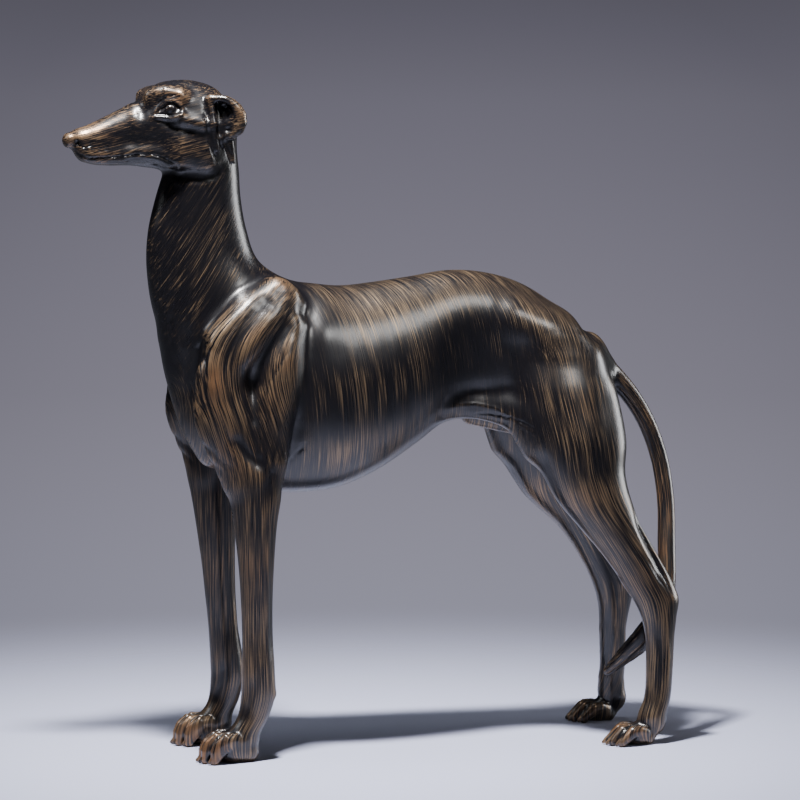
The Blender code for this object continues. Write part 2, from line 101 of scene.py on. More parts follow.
class Region(Enum):
    """Parts of the coat that the brush followed in one direction."""

    TRUNK = 0
    HEAD = 1
    NECK = 2
    FORELEG = 3
    HINDLEG = 4
    SHOULDER = 5
    TAIL = 6

    @property
    def layer(self) -> int:
        """Which of the three stroke layers carries this region; neighbours differ."""
        return (0, 0, 1, 1, 1, 2, 2)[self.value]


def along(knots: Array, rows: Array, s: Array, level_ends: bool = False) -> Array:
    """Every column of rows at s, by a smooth curve through the knots.

    Args:
        knots: rising places of the rows.
        rows: values at the knots.
        s: places that are asked for.
        level_ends: whether the curve leaves both ends level.

    Returns:
        One row of values for each s.
    """
    slope = np.gradient(rows, knots, axis=0)
    if level_ends:
        slope[0] = 0.0
        slope[-1] = 0.0
    s = np.clip(s, knots[0], knots[-1])
    i = np.clip(np.searchsorted(knots, s) - 1, 0, len(knots) - 2)
    span = (knots[i + 1] - knots[i])[:, None]
    t = (s - knots[i])[:, None] / span
    return (rows[i] * (1.0 + 2.0 * t) * (1.0 - t) ** 2
            + slope[i] * span * t * (1.0 - t) ** 2
            + rows[i + 1] * t ** 2 * (3.0 - 2.0 * t)
            + slope[i + 1] * span * t ** 2 * (t - 1.0))


def leant(lean: Optional[Rows], z: Array) -> Array:
    """How far back a form stands at height z.

    Args:
        lean: steps of height and shift, or None where it stands plumb.
        z: heights.

    Returns:
        The shift at each height.
    """
    if not lean:
        return np.zeros_like(np.asarray(z, dtype=float))
    heights, shifts = zip(*lean)
    return np.interp(z, heights, shifts)


def nearest_on(line: Array, q: Array) -> Tuple[Array, Array]:
    """Finds the place along a line of points that is nearest to each point.

    Args:
        line: the line's points.
        q: points.

    Returns:
        Places, counted in segments from the start, and the distances squared.
    """
    best = np.full(len(q), np.inf)
    place = np.zeros(len(q))
    for i, (a, b) in enumerate(zip(line, line[1:])):
        ab = b - a
        t = np.clip((q - a) @ ab / (ab @ ab + TINY), 0.0, 1.0)
        d = ((q - a - t[:, None] * ab) ** 2).sum(axis=1)
        closer = d < best
        best = np.where(closer, d, best)
        place = np.where(closer, i + t, place)
    return place, best


class Form:
    """A simple body that knows how far off its surface any point lies."""

    side: Side
    region: Region
    blend: float
    grain: float

    def box(self) -> Tuple[Array, Array]:
        """Lowest and highest corner, seen from its own half."""
        raise NotImplementedError

    def gap(self, q: Array) -> Array:
        """Signed distance of points seen from its own half."""
        raise NotImplementedError

    def rings(self) -> List[Array]:
        """Closed rings of points from end to end, for the loft."""
        raise NotImplementedError

    def distance(self, points: Array) -> Array:
        """Signed distance of points from this form's surface.

        Args:
            points: places, one row each.

        Returns:
            Millimetres, below nought inside.
        """
        q = self.side.folded(points)
        low, high = self.box()
        near = np.all((q > low - WORKED_ROUND) & (q < high + WORKED_ROUND), axis=1)
        out = np.full(len(q), FAR_OFF)
        if near.any():
            out[near] = self.gap(q[near])
        return out


@dataclass
class Column(Form):
    """Sections square to one axis: rows of place, low edge, high edge, y, half width."""

    axis: int
    rows: Rows
    region: Region
    side: Side = Side.MIDDLE
    blend: float = 6.0
    power: float = 2.0
    cap: float = 4.0
    egg: float = 0.0
    lean: Optional[Rows] = None
    grain: float = COARSE
    RING_POINTS: ClassVar[int] = 20
    RING_GAP: ClassVar[float] = 4.0      # millimetres from ring to ring
    FEWEST_RINGS: ClassVar[int] = 6
    CAP_ANGLES: ClassVar[Tuple[float, ...]] = (80.0, 55.0, 25.0)
    PROBE: ClassVar[float] = 0.2         # step over which the taper is felt

    def __post_init__(self) -> None:
        """Sorts the rows and splits them into places and values."""
        table = np.array(sorted(map(tuple, self.rows)), dtype=float)
        self.deep = 2 if self.axis == 0 else 0
        self.knots = table[:, 0]
        self.table = table[:, 1:]

    def box(self) -> Tuple[Array, Array]:
        """Lowest and highest corner."""
        low, high = np.zeros(3), np.zeros(3)
        low[self.axis] = self.knots[0] - self.cap
        high[self.axis] = self.knots[-1] + self.cap
        shifts = [0.0] + [shift for _, shift in self.lean or ()]
        low[self.deep] = self.table[:, 0].min() + min(shifts)
        high[self.deep] = self.table[:, 1].max() + max(shifts)
        low[1] = (self.table[:, 2] - self.table[:, 3]).min()
        high[1] = (self.table[:, 2] + self.table[:, 3]).max()
        return low, high

    def section(self, s: Array) -> Tuple[Array, ...]:
        """Middle and half depth of the section at s, its y and its half width."""
        v = along(self.knots, self.table, s, True)
        return (v[:, 0] + v[:, 1]) / 2.0, (v[:, 1] - v[:, 0]) / 2.0, v[:, 2], v[:, 3]

    def ratios(self, q: Array, s: Array, over: Array) -> Tuple[Array, ...]:
        """How far out each point is, as a share of the section there.

        Args:
            q: points.
            s: their places along the axis.
            over: how far past the ends they are, in caps.

        Returns:
            Share of the section, its two parts, half depth and half width.
        """
        middle, half, y, width = self.section(s)
        deep = q[:, self.deep] - middle
        if self.lean:
            deep = deep - leant(self.lean, q[:, 2])
        u = deep / half
        wide = width * (1.0 + self.egg * np.clip(u, -1.0, 1.0))
        w = (q[:, 1] - y) / wide
        n = self.power
        r = (np.abs(u) ** n + np.abs(w) ** n + np.abs(over) ** n + TINY) ** (1.0 / n)
        return r, u, w, half, wide

    def gap(self, q: Array) -> Array:
        """Signed distance, near enough, from the share of the section and its slopes."""
        s = q[:, self.axis]
        over = (s - np.clip(s, self.knots[0], self.knots[-1])) / self.cap
        r, u, w, half, wide = self.ratios(q, s, over)
        beyond = q.copy()
        beyond[:, self.axis] += self.PROBE
        further = self.ratios(beyond, s + self.PROBE, over)[0]
        n = self.power
        flat = ((np.abs(u) / r) ** (n - 1.0) / half) ** 2
        flat += ((np.abs(w) / r) ** (n - 1.0) / wide) ** 2
        taper = np.minimum(((further - r) / self.PROBE) ** 2, 0.5 * flat)
        dome = ((np.abs(over) / r) ** (n - 1.0) / self.cap) ** 2
        return (r - 1.0) / np.maximum(np.sqrt(flat + taper + dome), LEAST_SLOPE)

    def rings(self) -> List[Array]:
        """Closed rings of points along the axis, ends included."""
        length = self.knots[-1] - self.knots[0]
        count = max(self.FEWEST_RINGS, int(length / self.RING_GAP))
        ends = self.cap * np.sin(np.radians(self.CAP_ANGLES))
        places = np.concatenate([self.knots[0] - ends,
                                 np.linspace(self.knots[0], self.knots[-1], count),
                                 self.knots[-1] + ends[::-1]])
        over = (places - np.clip(places, self.knots[0], self.knots[-1])) / self.cap
        turn = np.linspace(0.0, 2.0 * np.pi, self.RING_POINTS, endpoint=False)
        u = np.sign(np.cos(turn)) * np.abs(np.cos(turn)) ** (2.0 / self.power)
        w = np.sign(np.sin(turn)) * np.abs(np.sin(turn)) ** (2.0 / self.power)
        rows = zip(places, np.sqrt(1.0 - over ** 2), *self.section(places))
        out = []
        for place, k, middle, half, y, wide in rows:
            ring = np.zeros((len(turn), 3))
            ring[:, self.axis] = place
            ring[:, self.deep] = middle + half * k * u
            ring[:, 1] = y + wide * k * w * (1.0 + self.egg * u)
            if self.lean:
                ring[:, 0] += leant(self.lean, ring[:, 2])
            out.append(ring)
        return out


@dataclass
class Limb(Form):
    """A bent body round a smooth line: rows of x, y, z, half width, half depth."""

    rows: Rows
    region: Region
    side: Side = Side.MIDDLE
    blend: float = 6.0
    lean: Optional[Rows] = None
    grain: float = COARSE
    RING_POINTS: ClassVar[int] = 14
    RING_GAP: ClassVar[float] = 3.0      # millimetres from ring to ring
    FEWEST_RINGS: ClassVar[int] = 5
    MOST_RINGS: ClassVar[int] = 34
    CAP_ANGLES: ClassVar[Tuple[float, ...]] = (75.0, 40.0)

    def __post_init__(self) -> None:
        """Runs the smooth line and finds its directions."""
        table = np.array(self.rows, dtype=float)
        table[:, 0] += leant(self.lean, table[:, 2])
        legs = np.linalg.norm(np.diff(table[:, :3], axis=0), axis=1)
        knots = np.concatenate([[0.0], np.cumsum(legs)])
        count = max(self.FEWEST_RINGS, int(knots[-1] / self.RING_GAP))
        count = min(count, self.MOST_RINGS)
        self.places = np.linspace(0.0, knots[-1], count)
        fine = along(knots, table, self.places)
        self.line = fine[:, :3]
        self.half = fine[:, 3:]
        step = np.gradient(self.line, axis=0)
        self.tangent = step / np.linalg.norm(step, axis=1)[:, None]

    def box(self) -> Tuple[Array, Array]:
        """Lowest and highest corner."""
        reach = self.half.max()
        return self.line.min(axis=0) - reach, self.line.max(axis=0) + reach

    def frame(self, tangent: Array) -> Tuple[Array, Array]:
        """Directions across and deep at each tangent."""
        across = np.array([0.0, 1.0, 0.0]) - tangent * tangent[:, 1:2]
        across = across / np.maximum(np.linalg.norm(across, axis=1)[:, None], TINY)
        return across, np.cross(tangent, across)

    def polar(self, q: Array) -> Tuple[Array, ...]:
        """Offsets of points from the line.

        Args:
            q: points.

        Returns:
            Offset across, deep and lengthwise, half sizes and length run so far.
        """
        spot, _ = nearest_on(self.line, q)
        i = np.minimum(spot.astype(int), len(self.line) - 2)
        t = (spot - i)[:, None]
        centre = self.line[i] * (1.0 - t) + self.line[i + 1] * t
        half = self.half[i] * (1.0 - t) + self.half[i + 1] * t
        tangent = self.tangent[i] * (1.0 - t) + self.tangent[i + 1] * t
        tangent = tangent / np.linalg.norm(tangent, axis=1)[:, None]
        across, deep = self.frame(tangent)
        off = q - centre
        run = self.places[i] * (1.0 - t[:, 0]) + self.places[i + 1] * t[:, 0]
        return ((off * across).sum(axis=1), (off * deep).sum(axis=1),
                (off * tangent).sum(axis=1), half, run)

    def gap(self, q: Array) -> Array:
        """Signed distance, near enough."""
        u, v, w, half, _ = self.polar(q)
        a, b = half[:, 0], half[:, 1]
        cap = half.min(axis=1)
        r = np.sqrt((u / a) ** 2 + (v / b) ** 2 + (w / cap) ** 2 + TINY)
        slope = np.sqrt((u / a ** 2) ** 2 + (v / b ** 2) ** 2 + (w / cap ** 2) ** 2) / r
        return (r - 1.0) / np.maximum(slope, LEAST_SLOPE)

    def rings(self) -> List[Array]:
        """Closed rings of points along the line, ends included."""
        across, deep = self.frame(self.tangent)
        turn = np.linspace(0.0, 2.0 * np.pi, self.RING_POINTS, endpoint=False)
        last = len(self.line) - 1
        ends = np.sin(np.radians(self.CAP_ANGLES))
        plan = [(0, -e) for e in ends] + [(i, 0.0) for i in range(last + 1)]
        plan += [(last, e) for e in ends[::-1]]
        out = []
        for i, e in plan:
            a, b = self.half[i]
            k = np.sqrt(1.0 - e * e)
            centre = self.line[i] + self.tangent[i] * e * min(a, b)
            ring = centre + np.outer(np.cos(turn) * a * k, across[i])
            out.append(ring + np.outer(np.sin(turn) * b * k, deep[i]))
        return out


@dataclass
class Stroke:
    """A groove, or a ridge where the depth is below nought, drawn along a line.

    The points are x, z pairs as seen from the side, or x, y, z places.
    """

    points: Rows
    width: float
    depth: float
    side: Side = Side.BOTH
    inner: float = 5.0
    sharp: bool = False
    gilt: float = 0.0
    tapers: bool = True
    REACH: ClassVar[float] = 3.2         # widths at which a stroke has died out
    FADE: ClassVar[float] = 0.8          # widths over which its edge dies out
    SHARPNESS: ClassVar[float] = 1.9     # how steeply a sharp stroke falls off
    END_SHARE: ClassVar[float] = 0.15    # strength left at a tapering end
    TAPER_RATE: ClassVar[float] = 4.5    # how soon full strength is reached from an end
    SIDE_FADE: ClassVar[float] = 3.0     # over how many millimetres it starts past inner

    def nearness(self, points: Array) -> Tuple[Array, Array, Array]:
        """How near points come to the line.

        Args:
            points: places, one row each.

        Returns:
            A mask of the near ones, their distance and their share of the length.
        """
        q = self.side.folded(points)
        line = np.array(self.points, dtype=float)
        gate = np.ones(len(q), dtype=bool)
        if line.shape[1] == 2:
            gate = q[:, 1] > self.inner
            q = q[:, [0, 2]]
        reach = self.REACH * self.width
        near = gate & np.all((q > line.min(axis=0) - reach) & (q < line.max(axis=0) + reach),
                             axis=1)
        place, squared = nearest_on(line, q[near])
        return near, np.sqrt(squared), place / (len(line) - 1)

    def share(self, points: Array) -> Array:
        """Strength of the stroke at each point, from 0 to 1.

        Args:
            points: places, one row each.

        Returns:
            One share for each point.
        """
        near, away, place = self.nearness(points)
        out = np.zeros(len(points))
        fade = np.ones(len(place))
        if self.tapers:
            from_end = np.minimum(place, 1.0 - place)
            fade = np.clip(self.TAPER_RATE * from_end + self.END_SHARE, 0.0, 1.0)
        t = away / self.width
        body = np.exp(-self.SHARPNESS * t) if self.sharp else np.exp(-t ** 2)
        body = body * np.clip((self.REACH - t) / self.FADE, 0.0, 1.0)
        if np.array(self.points).shape[1] == 2:
            depth_in = np.abs(points[near][:, 1]) - self.inner
            fade = fade * np.clip(depth_in / self.SIDE_FADE, 0.0, 1.0)
        out[near] = body * fade
        return out


def dimple(centre: Sequence[float], width: float, depth: float, side: Side = Side.BOTH,
           gilt: float = 0.0) -> Stroke:
    """A round hollow, or a low swelling where depth is below nought.

    Args:
        centre: x, z or x, y, z.
        width: radius at which it has mostly died out.
        depth: how deep.
        side: which half it belongs to.
        gilt: how much gold it gains.

    Returns:
        A stroke with next to no length, at full strength.
    """
    end = [centre[0] + 0.01] + list(centre[1:])
    return Stroke([list(centre), end], width, depth, side, gilt=gilt, tapers=False)


@dataclass
class Spot:
    """A place where the gold lies thicker, or thinner where it is below nought; some spots paint
    a highlight, and some paint shade, this way.
    """

    x: float
    z: float
    reach_x: float
    reach_z: float
    gilt: float
    copper: float = 0.0

    def share(self, points: Array) -> Array:
        """How strongly each point feels the spot."""
        return np.exp(-((points[:, 0] - self.x) / self.reach_x) ** 2
                      - ((points[:, 2] - self.z) / self.reach_z) ** 2)


def linked(name: str, data: bpy.types.ID) -> bpy.types.Object:
    """A new object in the scene that shows the data."""
    thing = bpy.data.objects.new(name, data)
    bpy.context.scene.collection.objects.link(thing)
    return thing


def blended(a: Array, b: Array, soft: float) -> Array:
    """Smooth least of two distances."""
    h = np.clip(0.5 + 0.5 * (b - a) / soft, 0.0, 1.0)
    return b * (1.0 - h) + a * h - soft * h * (1.0 - h)


@dataclass
class Stance:
    """Sizes that say where the four feet stand and how far the far legs lean."""

    half_fore: float = 28.5
    half_hind: float = 39.0
    sway: float = 2.3
    stagger: float = 8.5
    sole_depth: float = 1.2
    hind_lean: Rows = ((0, 8.5), (14, 8.5), (24, 4.4), (50, 2.2), (66, 3.2), (84, 6.6),
                       (108, 6.6), (128, 1.0), (150, -2.4), (176, 0.0))
    fore_lean: Rows = ((0, 1.6), (11, 1.4), (22, 0.2), (46, -0.8), (78, -3.2), (104, -4.6),
                       (140, -5.4), (170, -2.0))


def stood_at(y: float, leg: Rows) -> Rows:
    """Rows of a leg whose paw stands at y; its fourth numbers are shifts from there."""
    return [(z, low, high, y + shift, wide) for z, low, high, shift, wide in leg]


class SubAssembly:
    """A part of the dog that gives forms, carving, engraving and gilding.

    The rows of spots are x, z, reach in x, reach in z, gold and copper.
    """

    gold_and_painted_light_spots: Rows = ()

    def forms(self) -> List[Form]:
        """Bodies that are blended into the surface."""
        return []

    def carving(self) -> List[Stroke]:
        """Broad muscle lines, worked into the surface itself."""
        return []

    def engraving(self) -> List[Stroke]:
        """Fine lines, cut into the finished skin."""
        return []

    def gilding(self) -> List[Spot]:
        """Where the dry brush left more or less gold, and where some spots paint a highlight and
        shade.
        """
        return [Spot(*row) for row in self.gold_and_painted_light_spots]


@dataclass
class Trunk(SubAssembly):
    """Rib cage, loin, rump and breastbone."""

    rows: Rows = ((-112, 157, 224, 0, 22), (-101, 144, 234, 0, 29), (-84, 135, 239.5, 0, 33),
                  (-64, 132.8, 239.4, 0, 34.5), (-42, 135.4, 237.4, 0, 34),
                  (-22, 143.8, 239.2, 0, 31.5), (-4, 155, 241.6, 0, 28),
                  (16, 168.4, 244.4, 0, 24.5), (36, 171.5, 243, 0, 24.5),
                  (56, 166, 236.8, 0, 26.5), (76, 158, 224.2, 0, 25.5),
                  (93, 162, 211.4, 0, 18))
    keel: Rows = ((-126, 0, 210, 8, 7), (-125, 0, 196, 9, 8.4), (-119, 0, 176, 10, 9),
                  (-108, 0, 156, 11, 10))
    # The gold band along the back is partly a painted highlight where the light glances off the
    # back; the gold taken out of the hollows behind the shoulder and of the flank is partly
    # painted shade.
    gold_and_painted_light_spots: Rows = (  # band of gold along the back, partly painted highlight; gold on the low ribs; bare hollows between, partly painted shade
        (-34, 224, 24, 11, 0.22), (-4, 228, 18, 10, 0.20), (22, 234, 14, 7, 0.12),
        (-45, 194, 8, 10, 0.16), (-38, 178, 8, 9, 0.16), (-52, 156, 13, 6.5, 0.34),
        (-36, 164, 8, 6, 0.16), (-57, 213, 9, 14, -0.42), (-60, 188, 7, 20, -0.36),
        (-56, 171, 8, 6, -0.30), (-25, 206, 6, 10, -0.22), (30, 199, 21, 21, -0.85),
        (4, 200, 6, 15, -0.2), (20, 175, 16, 5, -0.2), (-40, 240, 60, 3.5, -0.12),
        (-133, 200, 6, 40, -0.3), (-60, 137, 20, 5, -0.3))

    def forms(self) -> List[Form]:
        """The barrel of the body and the ridge of the breast."""
        return [Column(0, self.rows, Region.TRUNK, cap=12.0, egg=-0.06),
                Limb(self.keel, Region.TRUNK, blend=8.0)]

    def carving(self) -> List[Stroke]:
        """Dip behind the shoulder, hollow of the flank, thigh's front and fold of skin."""
        return [
            Stroke([(-66, 236), (-68.4, 222), (-69.4, 210), (-70.6, 194), (-72.6, 180),
                    (-75, 166), (-78, 154)], 7.0, 1.9, inner=12.0),
            dimple((27, 25, 202), 19.0, 4.0),
            dimple((-60, 28, 215), 9.0, -0.8),
            Stroke([(49, 216), (47.5, 200), (48, 186), (51, 172)], 6.0, 1.1, inner=12.0),
            Stroke([(2, 176), (12, 181), (24, 183), (36, 181.5)], 4.4, 0.8, inner=8.0),
        ]

    def engraving(self) -> List[Stroke]:
        """Shallow lines of the ribs and of the belly's edge."""
        ribs = [Stroke([(x, 214), (x + 4, 190), (x + 7, 168)], 3.2, 0.28, inner=20.0)
                for x in (-52, -41, -30, -19)]
        return ribs + [
            Stroke([(-131.8, 231), (-133.6, 220), (-133.2, 212), (-130.8, 202), (-129, 194)],
                   1.6, 0.9, inner=6.0, sharp=True),
            Stroke([(-129.8, 180.5), (-129, 170), (-124.1, 161.7), (-116.5, 155.2),
                    (-110, 147.5)], 1.7, 0.9, inner=7.0, sharp=True),
            Stroke([(-134, 178), (-128.9, 167.5), (-121.3, 154.6), (-111, 144.3)],
                   1.5, 0.8, inner=6.0, sharp=True),
        ]


@dataclass
class Neck(SubAssembly):
    """Long arched neck."""

    rows: Rows = ((176, -106, -92, 0, 4), (192, -123, -78, 0, 15), (206, -132.2, -70, 0, 20.5),
                  (218, -137.2, -64, 0, 21.5), (230, -140.6, -66, 0, 20.5),
                  (242, -142.4, -78, 0, 18.6), (252, -143, -86.4, 0, 17.2),
                  (266, -142, -91.6, 0, 16), (282, -138.2, -94.6, 0, 15.4),
                  (298, -133, -95.8, 0, 15.2), (316, -127, -99, 0, 12))
    gold_and_painted_light_spots: Rows = (  # faint gold on the side, none at front and back
        (-114, 266, 9, 16, 0.12), (-122, 228, 8, 12, 0.12), (-142, 245, 7, 45, -0.35),
        (-95, 272, 5, 30, -0.35), (-122, 286, 12, 6, -0.25), (-100, 244, 9, 9, -0.15))

    def forms(self) -> List[Form]:
        """The neck as one column."""
        return [Column(2, self.rows, Region.NECK, blend=12.0, cap=12.0)]

    def carving(self) -> List[Stroke]:
        """The line of the windpipe and the one before the shoulder."""
        return [
            Stroke([(-127, 222), (-124, 208), (-125.5, 190), (-124, 172)], 4.4, 1.6, inner=10.0),
            Stroke([(-131, 286), (-133, 262), (-132, 238), (-131, 226)], 5.0, 0.9, inner=5.0),
        ]

    def engraving(self) -> List[Stroke]:
        """Fold of loose skin under the jaw."""
        return [Stroke([(-136, 295), (-128, 292.6), (-120, 291.6), (-112, 293.4), (-106, 297)],
                       1.5, 0.8, inner=3.0, sharp=True),
                Stroke([(-134, 292.4), (-127, 289.8), (-119, 288.8), (-111, 290.6)],
                       1.8, -0.5, inner=3.0)]


@dataclass
class Head(SubAssembly):
    """Skull, long muzzle, nose, lips, eyes and cheeks."""

    eye_radius: float = 3.1
    eye: Tuple[float, float, float] = (-134.0, 14.0, 327.0)
    skull: Rows = ((-149, 303, 328.6, 0, 10.5), (-145, 301, 334.2, 0, 12.6),
                   (-138, 299, 339, 0, 15.2), (-128, 297.6, 341.2, 0, 17.4),
                   (-118, 297.6, 340.8, 0, 18.4), (-108, 300, 337.2, 0, 17.4),
                   (-102, 304, 332.4, 0, 14.5))
    muzzle: Rows = ((-182.6, 308.2, 314.4, 0, 4.2), (-178.5, 303.3, 316.6, 0, 6.0),
                    (-172, 299.9, 319.3, 0, 7.4), (-163, 298.8, 323.5, 0, 8.4),
                    (-153, 298.8, 328.2, 0, 10.0), (-143, 298.0, 330.6, 0, 12.6),
                    (-131, 297.4, 331, 0, 15.0))
    # The gold taken out in the crease under the eye and along the line under the upper lip is
    # partly painted shade in those creases.
    gold_and_painted_light_spots: Rows = (  # copper nose and bridge, gold cheek and brow; darker round the eye and along the lip line, partly painted shade
        (-182, 312, 5, 4, 0.45, 1.0), (-171, 317, 10, 4, 0.42, 0.9),
        (-157, 322, 8, 4, 0.14, 0.6), (-171, 306, 9, 5, 0.30, 0.4), (-156, 311, 8, 5, 0.10, 0.3),
        (-122, 306, 11, 6, 0.32, 0.2), (-144, 306, 6, 3, 0.14, 0.4),
        (-130, 333, 7, 4, 0.36, 0.5), (-120, 330, 9, 7, 0.12, 0.3), (-135, 319.5, 9, 3, -0.35),
        (-135, 326, 6, 4, -0.25), (-144, 301, 14, 3, -0.4), (-148, 317, 10, 4, -0.15),
        (-122, 340, 20, 3, -0.2))

    def forms(self) -> List[Form]:
        """Skull, muzzle, brows, eyeballs, cheeks, nose pad, lips and jaw."""
        x, y, z = self.eye
        r = self.eye_radius
        head = Region.HEAD
        both = Side.BOTH
        return [
            Column(0, self.skull, head, cap=4.0, power=2.2, grain=1.4),
            Column(0, self.muzzle, head, cap=1.6, power=2.3, blend=4.0, egg=0.08, grain=1.0),
            Limb([(-142.6, 8.6, 333.4, 3, 3.2), (-137.5, 11, 334.8, 3.6, 3.6),
                  (-129, 13.2, 333.2, 3.4, 3.4)], head, both, 5.0),
            Limb([(-130, 15.4, 321.6, 2.6, 2.4), (-122, 18, 319.6, 2.8, 2.6),
                  (-113, 18.4, 319, 2.6, 2.4)], head, both, 5.0),
            Limb([(-130, 12.5, 306, 5, 8), (-117, 14.2, 306.4, 5.6, 9.5)], head, both, 5.0),
            Limb([(-182.4, 0, 311.4, 3.8, 3.0), (-177, 0, 312.6, 5.0, 3.6)], head,
                 Side.MIDDLE, 3.0, grain=0.6),
            Limb([(-174.5, 4.0, 303.9, 1.4, 1.8), (-169, 5.4, 303.2, 1.7, 2.3),
                  (-161, 6.6, 303.2, 1.9, 2.7), (-150, 9.0, 304.0, 2.1, 3.0),
                  (-140, 11.8, 303.4, 2.2, 3.2), (-134, 13.0, 300.8, 2.0, 2.8)],
                 head, both, 5.0, grain=0.9),
            Limb([(x - 0.3, y, z, r, r), (x + 0.3, y, z, r, r)], head, both, 0.5, grain=0.55),
        ]

    def carving(self) -> List[Stroke]:
        """Eye sockets and the hollow before the brow."""
        return [
            dimple((-146.5, 10.5, 325.5), 3.4, 1.5),
            Stroke([(-139.5, 320.4), (-134.4, 318.4), (-128, 317.4), (-121, 316.6)],
                   2.4, 0.9, inner=7.0),
            Stroke([(-158, 312), (-146, 311.4), (-136, 312.4)], 3.6, 0.7, inner=4.0),
        ]

    def engraving(self) -> List[Stroke]:
        """Lids, brow wrinkles, nostrils, lip line and whisker marks."""
        whiskers = [Stroke([(-176.5 + 3.4 * i, 305.6 + 0.5 * i + 1.5 * j),
                            (-174.4 + 3.4 * i, 304.9 + 0.5 * i + 1.5 * j)],
                           0.45, 0.22, inner=2.0) for i in range(4) for j in range(2)]
        return whiskers + [
            Stroke([(-142.4, 324.6), (-139.6, 328.2), (-136.4, 330.8), (-133.0, 331.2),
                    (-130.0, 329.0), (-128.4, 325.8)], 0.9, -0.85, inner=8.0),
            Stroke([(-144.6, 322.4), (-141.2, 322.6), (-138.2, 322.6), (-134.6, 322.3),
                    (-130.6, 323.2), (-128.0, 325.4)], 0.85, -1.15, inner=8.0, gilt=0.3),
            Stroke([(-141.2, 324.2), (-138.6, 327.0), (-136.0, 329.4), (-132.8, 329.6),
                    (-130.4, 327.4), (-129.8, 325.2)], 0.55, 0.75, inner=8.0, gilt=-0.8),
            Stroke([(-141.2, 324.2), (-137.4, 324.2), (-133.4, 323.7), (-130.2, 324.6)],
                   0.5, 0.6, inner=8.0, gilt=-0.8),
            Stroke([(-142.0, 327.4), (-139.4, 331.0), (-136.0, 333.4), (-132.0, 333.8),
                    (-128.6, 331.6)], 0.8, 0.55, inner=7.0, sharp=True, gilt=-0.5),
            Stroke([(-137.6, 333.0), (-138.6, 335.6), (-137.6, 337.2)], 0.6, 0.4, inner=5.0,
                   sharp=True),
            Stroke([(-141.6, 321.4), (-137.0, 320.4), (-131.0, 320.6)], 0.9, 0.5, inner=8.0,
                   gilt=-0.4),
            Stroke([(-181.2, 312.4), (-179.2, 309.4), (-176.4, 307.9), (-173.2, 308.9),
                    (-171.0, 311.2)], 0.75, 1.0, inner=1.6, sharp=True, gilt=-0.8),
            Stroke([(-180.4, 310.6), (-178.8, 309.6)], 1.0, 1.3, inner=1.4, gilt=-0.9),
            Stroke([(-184.5, 0, 309.4), (-182.4, 0, 305.8), (-178.0, 0, 303.0)], 0.6, 0.6,
                   Side.MIDDLE, gilt=-0.4),
            # The lip line and the fold below it lose their gold: partly painted shadow under the
            # upper lip.
            Stroke([(-181.4, 307.4), (-178.1, 304.4), (-173.7, 302.3), (-166.1, 302.9),
                    (-158.4, 303.3), (-150.0, 304.6), (-144.7, 304.7), (-139.3, 303.2),
                    (-134.2, 300.6), (-130.3, 298.6)], 0.7, 1.05, inner=0.5, sharp=True,
                   gilt=-0.8),
            Stroke([(-157.4, 301.4), (-149.8, 302.0), (-142.1, 300.5), (-136.4, 298.6)],
                   0.9, 0.5, inner=4.0, gilt=-0.5),
            Stroke([(-133, 301.4), (-127.5, 298.8), (-119, 297.6), (-111, 299.4),
                    (-106.4, 303)], 1.4, -0.45, inner=5.0),
        ]


@dataclass
class Ears(SubAssembly):
    """Ears folded back, each a rolled rim round a leaf, with a hanging tip."""

    rim: float = 2.5
    gold_and_painted_light_spots: Rows = (  # gold on the leaf, black in the shell
        (-100, 322, 4.5, 8, 0.34, 0.3), (-110, 325, 3, 7, -0.7), (-112, 312, 3, 7, -0.4))

    def forms(self) -> List[Form]:
        """Front roll, back leaf, inner leaf, tip and the base that carries them."""
        head = Region.HEAD
        both = Side.BOTH
        k = self.rim
        return [
            Limb([(-114.4, 16.6, 331.6, k - 0.4, k), (-113.8, 18.6, 324, 1.8, 2.2),
                  (-113.4, 18.6, 315, 1.6, 2.0), (-111.6, 17.6, 306.6, 1.4, 1.8)],
                 head, both, 1.6, grain=0.7),
            Limb([(-113.6, 17, 331.6, 2.2, 2.4), (-107.6, 19.6, 331.4, 2.6, 2.2),
                  (-102.4, 20.6, 327.4, 3.0, 3.0), (-99.8, 20.2, 321.4, 3.2, 3.4),
                  (-102.4, 19.2, 315.0, 2.8, 2.8), (-106.6, 18.4, 313.4, 2.0, 2.2)],
                 head, both, 1.6, grain=0.7),
            Limb([(-103.6, 18.6, 326, 2.2, 4.6), (-103.0, 19.0, 319.4, 2.4, 4.6)],
                 head, both, 2.0, grain=0.8),
            Limb([(-106.4, 17.8, 313.6, 1.6, 3.0), (-104.4, 17.0, 306.6, 1.4, 2.6),
                  (-102.8, 16.0, 299.6, 1.0, 1.4)], head, both, 1.6, grain=0.7),
            Limb([(-110, 15.0, 325, 3, 4), (-108, 15.0, 314, 3, 4)], head, both, 3.0),
        ]

    def carving(self) -> List[Stroke]:
        """The shell's hollow."""
        return [dimple((-109.4, 21.0, 326.6), 3.4, 1.8)]

    def engraving(self) -> List[Stroke]:
        """Folds in front of the leaf and along its tip."""
        return [
            Stroke([(-110.8, 330.4), (-109.8, 324.4), (-110.2, 317), (-109.2, 311)], 1.4, 1.6,
                   inner=12.0, gilt=-0.9),
            Stroke([(-107.0, 329.0), (-105.8, 325.0), (-107.2, 320.4)], 1.0, 0.7, inner=12.0,
                   gilt=-0.6),
            Stroke([(-116.6, 331), (-116.6, 318), (-113.6, 306), (-110.8, 302)], 1.2, 1.0,
                   inner=10.0, gilt=-0.7),
            Stroke([(-107.6, 311.6), (-105.6, 307.1), (-103.0, 302.6)], 0.6, 0.7, inner=10.0,
                   sharp=True),
            Stroke([(-101.2, 327), (-100.0, 321), (-102.4, 316.4)], 1.2, -0.3, inner=12.0,
                   gilt=0.3),
            Stroke([(-107.8, 311.2), (-103.8, 311.6), (-100.6, 313.6)], 0.9, 0.9, inner=12.0,
                   sharp=True, gilt=-0.5),
        ]


